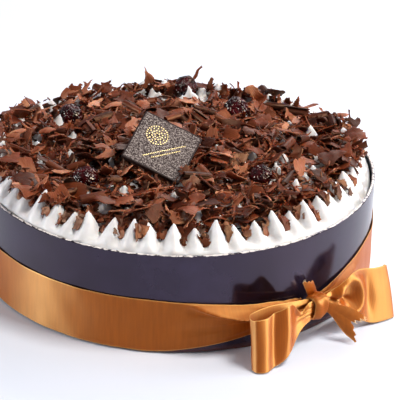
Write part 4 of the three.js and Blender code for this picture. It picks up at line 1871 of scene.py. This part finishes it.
@dataclass
class BowLoop:
    """A loop of the bow, a teardrop seen from above, standing on its lower edge."""

    hand: str
    side: int
    reach: float
    belly: float
    tip: float
    swing: float
    lean: float
    pressed: float
    slant: float
    height: float
    splay: float  # how far its lower edge stands forward of its upper edge
    puffs: tuple[Puff, ...]
    creases: tuple[Crease, ...]
    sways: tuple[tuple[float, float, float, float], ...]  # across, width, top lift, foot lift
    start: float = 4.0
    foot: float = 0.9

    def surface(self, u: float, v: float) -> Vector:
        """Return the loop's point: u runs out along the front and back behind, v up."""
        way = abs(2 * u - 1)
        facing = 1.0 if u < 0.5 else -1.0
        along = 1 - way**2.2
        gape = self.belly * (1 - math.exp(-way / self.tip)) * (1 - way**3) + 1.5 * way
        spread = smooth(along, 0, 0.72)
        half = mix(GATHERED / 2, self.height / 2, spread)
        middle = mix(KNOT_UP, self.foot + self.height / 2, spread)
        height = middle + (2 * v - 1) * half
        out = KNOT_OUT + self.swing * along + facing * gape + self.lean * (0.5 - v) * spread
        across = mix(self.start, self.reach - self.slant * v * v, along)
        if facing > 0:
            fade = smooth(across, self.start, 13) * (1 - smooth(way, 0.32, 0.0))
            shaped = [form.at(across, height) for form in (*self.puffs, *self.creases)]
            out += sum(shaped) * fade * (1 - 0.6 * smooth(v, 0.82, 1.0) * (self.pressed > 0))
            for where, wide, top, bottom in self.sways:
                height += mix(bottom, top, smooth(v, 0.3, 1.0)) * bump(across, where, wide)
        else:
            out += self.pressed * v * smooth(way, 0, 0.3) * spread
            height -= 1.4 * self.pressed * v * smooth(way, 0, 0.3) * spread
        height -= 1.5 * v * v * bump(way, 0, 0.13)
        near = 1 - smooth(along, 0.05, 0.4)
        out += 0.9 * near * math.sin(2 * math.pi * (2.5 * v + 0.2)) * smooth(along, 0.0, 0.1)
        out += 0.3 * noise.noise(Vector((along * 5, v * 2.5, self.side * 3 + facing)))
        point = from_bow(self.side * across, out, height)
        point.y -= self.splay * (1 - v) * spread
        return point

    def build(self) -> Piece:
        """Make the loop."""
        flat = (RIBBON, 2 * (self.reach - self.start) + 1.6 * self.belly)
        names = f"satin_loop_{self.hand}", f"bow_loop_{self.hand}"
        return Strip(*names, self.surface, (240, 46), flat).build()


LEFT_LOOP = BowLoop(
    "left",
    side=-1,
    reach=55,
    belly=6.0,
    tip=0.22,
    swing=1,
    lean=2.0,
    pressed=0.0,
    slant=-1.5,
    height=34.0,
    splay=8.3,
    puffs=(
        Puff(32.5, 23.8, 6.5, 24, 4.2),
        Puff(41.5, 17.8, 4.2, 26, -2.2),
        Puff(48.5, 15.8, 4.5, 30, 1.0),
        Puff(20, 22.8, 5.0, 9, -2.0),
    ),
    creases=(Crease((9, 26.8), (27, 28.8), 3.0, 1.0), Crease((9, 21.8), (30, 12.8), 3.2, 0.9)),
    sways=((16, 5.0, -5.5, 1.5), (31, 7.5, 5.0, 2.8)),
)
RIGHT_LOOP = BowLoop(
    "right",
    side=1,
    reach=61.5,
    belly=2.2,
    tip=0.1,
    swing=6,
    lean=8.0,
    pressed=2.4,
    slant=2.6,
    height=37.5,
    splay=0.0,
    puffs=(
        Puff(24.5, 23.3, 9.5, 10.5, 4.2, ring=True),
        Puff(24.5, 22.8, 5.5, 6, -1.6),
        Puff(40.5, 20.8, 4.5, 16, -2.0),
    ),
    creases=(Crease((9, 26.8), (27, 19.8), 1.7, 3.0), Crease((9, 29.8), (22, 31.8), 1.8, 1.2)),
    sways=((27, 14, 6.0, 2.0),),
)


@dataclass
class BowKnot:
    """A wrap of ribbon round the bow's middle, pinched into folds."""

    width: float = 12.0
    height: float = 16.5
    depth: float = 11.0
    squareness: float = 0.72
    gathered: float = 0.42  # its width as a share of the ribbon's

    def surface(self, u: float, v: float) -> Vector:
        """Return the wrap's point: u runs over the front and down round the back, v across."""
        turn = 2 * math.pi * u + math.pi / 2
        c, s = math.cos(turn), math.sin(turn)
        out = math.copysign(abs(c) ** self.squareness, c) * self.depth / 2
        up = math.copysign(abs(s) ** self.squareness, s) * self.height / 2
        across = (v - 0.5) * self.width
        pinch = 1.04 - 0.3 * abs(2 * v - 1) ** 5 - 0.05 * math.cos(2 * math.pi * (1.6 * v + 0.45 * s))
        skew = 1.8 * (up / self.height) + 0.9 * c
        narrow = 1 - 0.13 * (0.5 - up / self.height)
        return from_bow(across * narrow + skew - 0.6, KNOT_OUT + out * pinch, KNOT_UP + up * pinch)

    def build(self) -> Piece:
        """Make the wrap."""
        flat = (self.gathered * RIBBON, 2 * (self.height + self.depth) * 0.93)
        held = {"held": "folded", "rests_on": "satin_band", "thickness": 0.5}
        return Strip("satin_knot", "bow_knot", self.surface, (72, 30), flat, **held).build()


@dataclass
class BowTails:
    """The ribbon's two ends, one standing up behind the knot and one drooping in front of it."""

    notch: float = 0.38
    upper_panel: Vector = field(default_factory=lambda: Vector((2.5, -3.5, 9)))
    lower_panel: Vector = field(default_factory=lambda: Vector((-5, -4, -7.5)))
    root: Vector = field(default_factory=lambda: Vector((6.0, 152.0, 24.0)))
    end: Vector = field(default_factory=lambda: Vector((20.5, 174.1, 9.5)))

    def upper(self, u: float, v: float) -> Vector:
        """Return a point of the end that stands up."""
        width = mix(8.0, 9.6, u)
        jag = 1.3 * abs(math.sin(v * 9.4)) * smooth(u, 0.8, 1.0)
        across = mix(3.0, -3.6, u) + (v - 0.5) * width
        cup = -1.2 * (2 * v - 1) ** 2 * u + 0.5 * math.sin(3 * u)
        out = mix(141.6, 143, u) + cup
        return from_bow(across, out, mix(25.8, 40.8, u) - (v - 0.5) * 2 * u + jag)

    def side(self, u: float, v: float) -> Vector:
        """Return a point of the end that droops, folded lengthwise into two panels."""
        from_fold = 2 * v - 1
        jag = 0.03 * math.sin(v * 37) * smooth(u, 0.85, 1.0)
        along = u * (1 - self.notch * (1 - abs(from_fold))) + jag
        spine = self.root.lerp(self.end, along)
        spine.z += 4 * along * (1 - along)
        panel = self.upper_panel if from_fold > 0 else self.lower_panel
        spread = mix(0.35, 1, smooth(along, 0, 0.8))
        away = abs(from_fold)
        spine += panel * away * spread
        spine.y += 1.3 * math.sin(math.pi * away) * spread
        return from_bow(spine.x, spine.y, spine.z)

    def frays(self) -> Piece:
        """Make the loose threads at both cut ends."""
        draw = CakeRandom(5)
        bm = bmesh.new()
        for surface, count, spread in ((self.upper, 5, (0.0, 0.25)), (self.side, 26, (0.5, 1.0))):
            for index in range(count):
                v = mix(*spread, (index + draw()) / count)
                base = surface(0.985, v)
                way = (surface(1.0, v) - surface(0.9, v)).normalized()
                way += Vector((draw() - 0.5, draw() - 0.5, draw() - 0.7)) * 0.9
                length = mix(1.2, 3.0, draw())
                turn = way.normalized().to_track_quat("Z", "Y").to_matrix().to_4x4()
                lift = Matrix.Translation((0, 0, length / 2))
                add_cone(bm, Matrix.Translation(base) @ turn @ lift, 5, (0.16, 0.07), length)
        return dress(object_from(bm, "frayed_threads"), THREAD)

    def build(self) -> None:
        """Make both ends and their threads."""
        Strip("satin_tail_up", "bow_tail_up", self.upper, (30, 14), (10.0, 19.0)).build()
        Strip("satin_tail_side", "bow_tail_side", self.side, (40, 24), (16.0, 27.0)).build()
        self.frays()


def main() -> None:
    """Build the cake from the table up."""
    logging.basicConfig(level=logging.INFO, format="%(name)s: %(message)s")
    Studio().build()
    SpongeDrum().build()
    ChocolateCollar().build()
    cream = PipedCream().build()
    plaque = Plaque()
    plaque.build()
    plaque.gild()
    for cherry in CHERRIES:
        cherry.build()
    ShavingHeap(cream, plaque).build()
    RibbonBand().build()
    LEFT_LOOP.build()
    RIGHT_LOOP.build()
    BowKnot().build()
    BowTails().build()


if __name__ == "__main__":
    main()
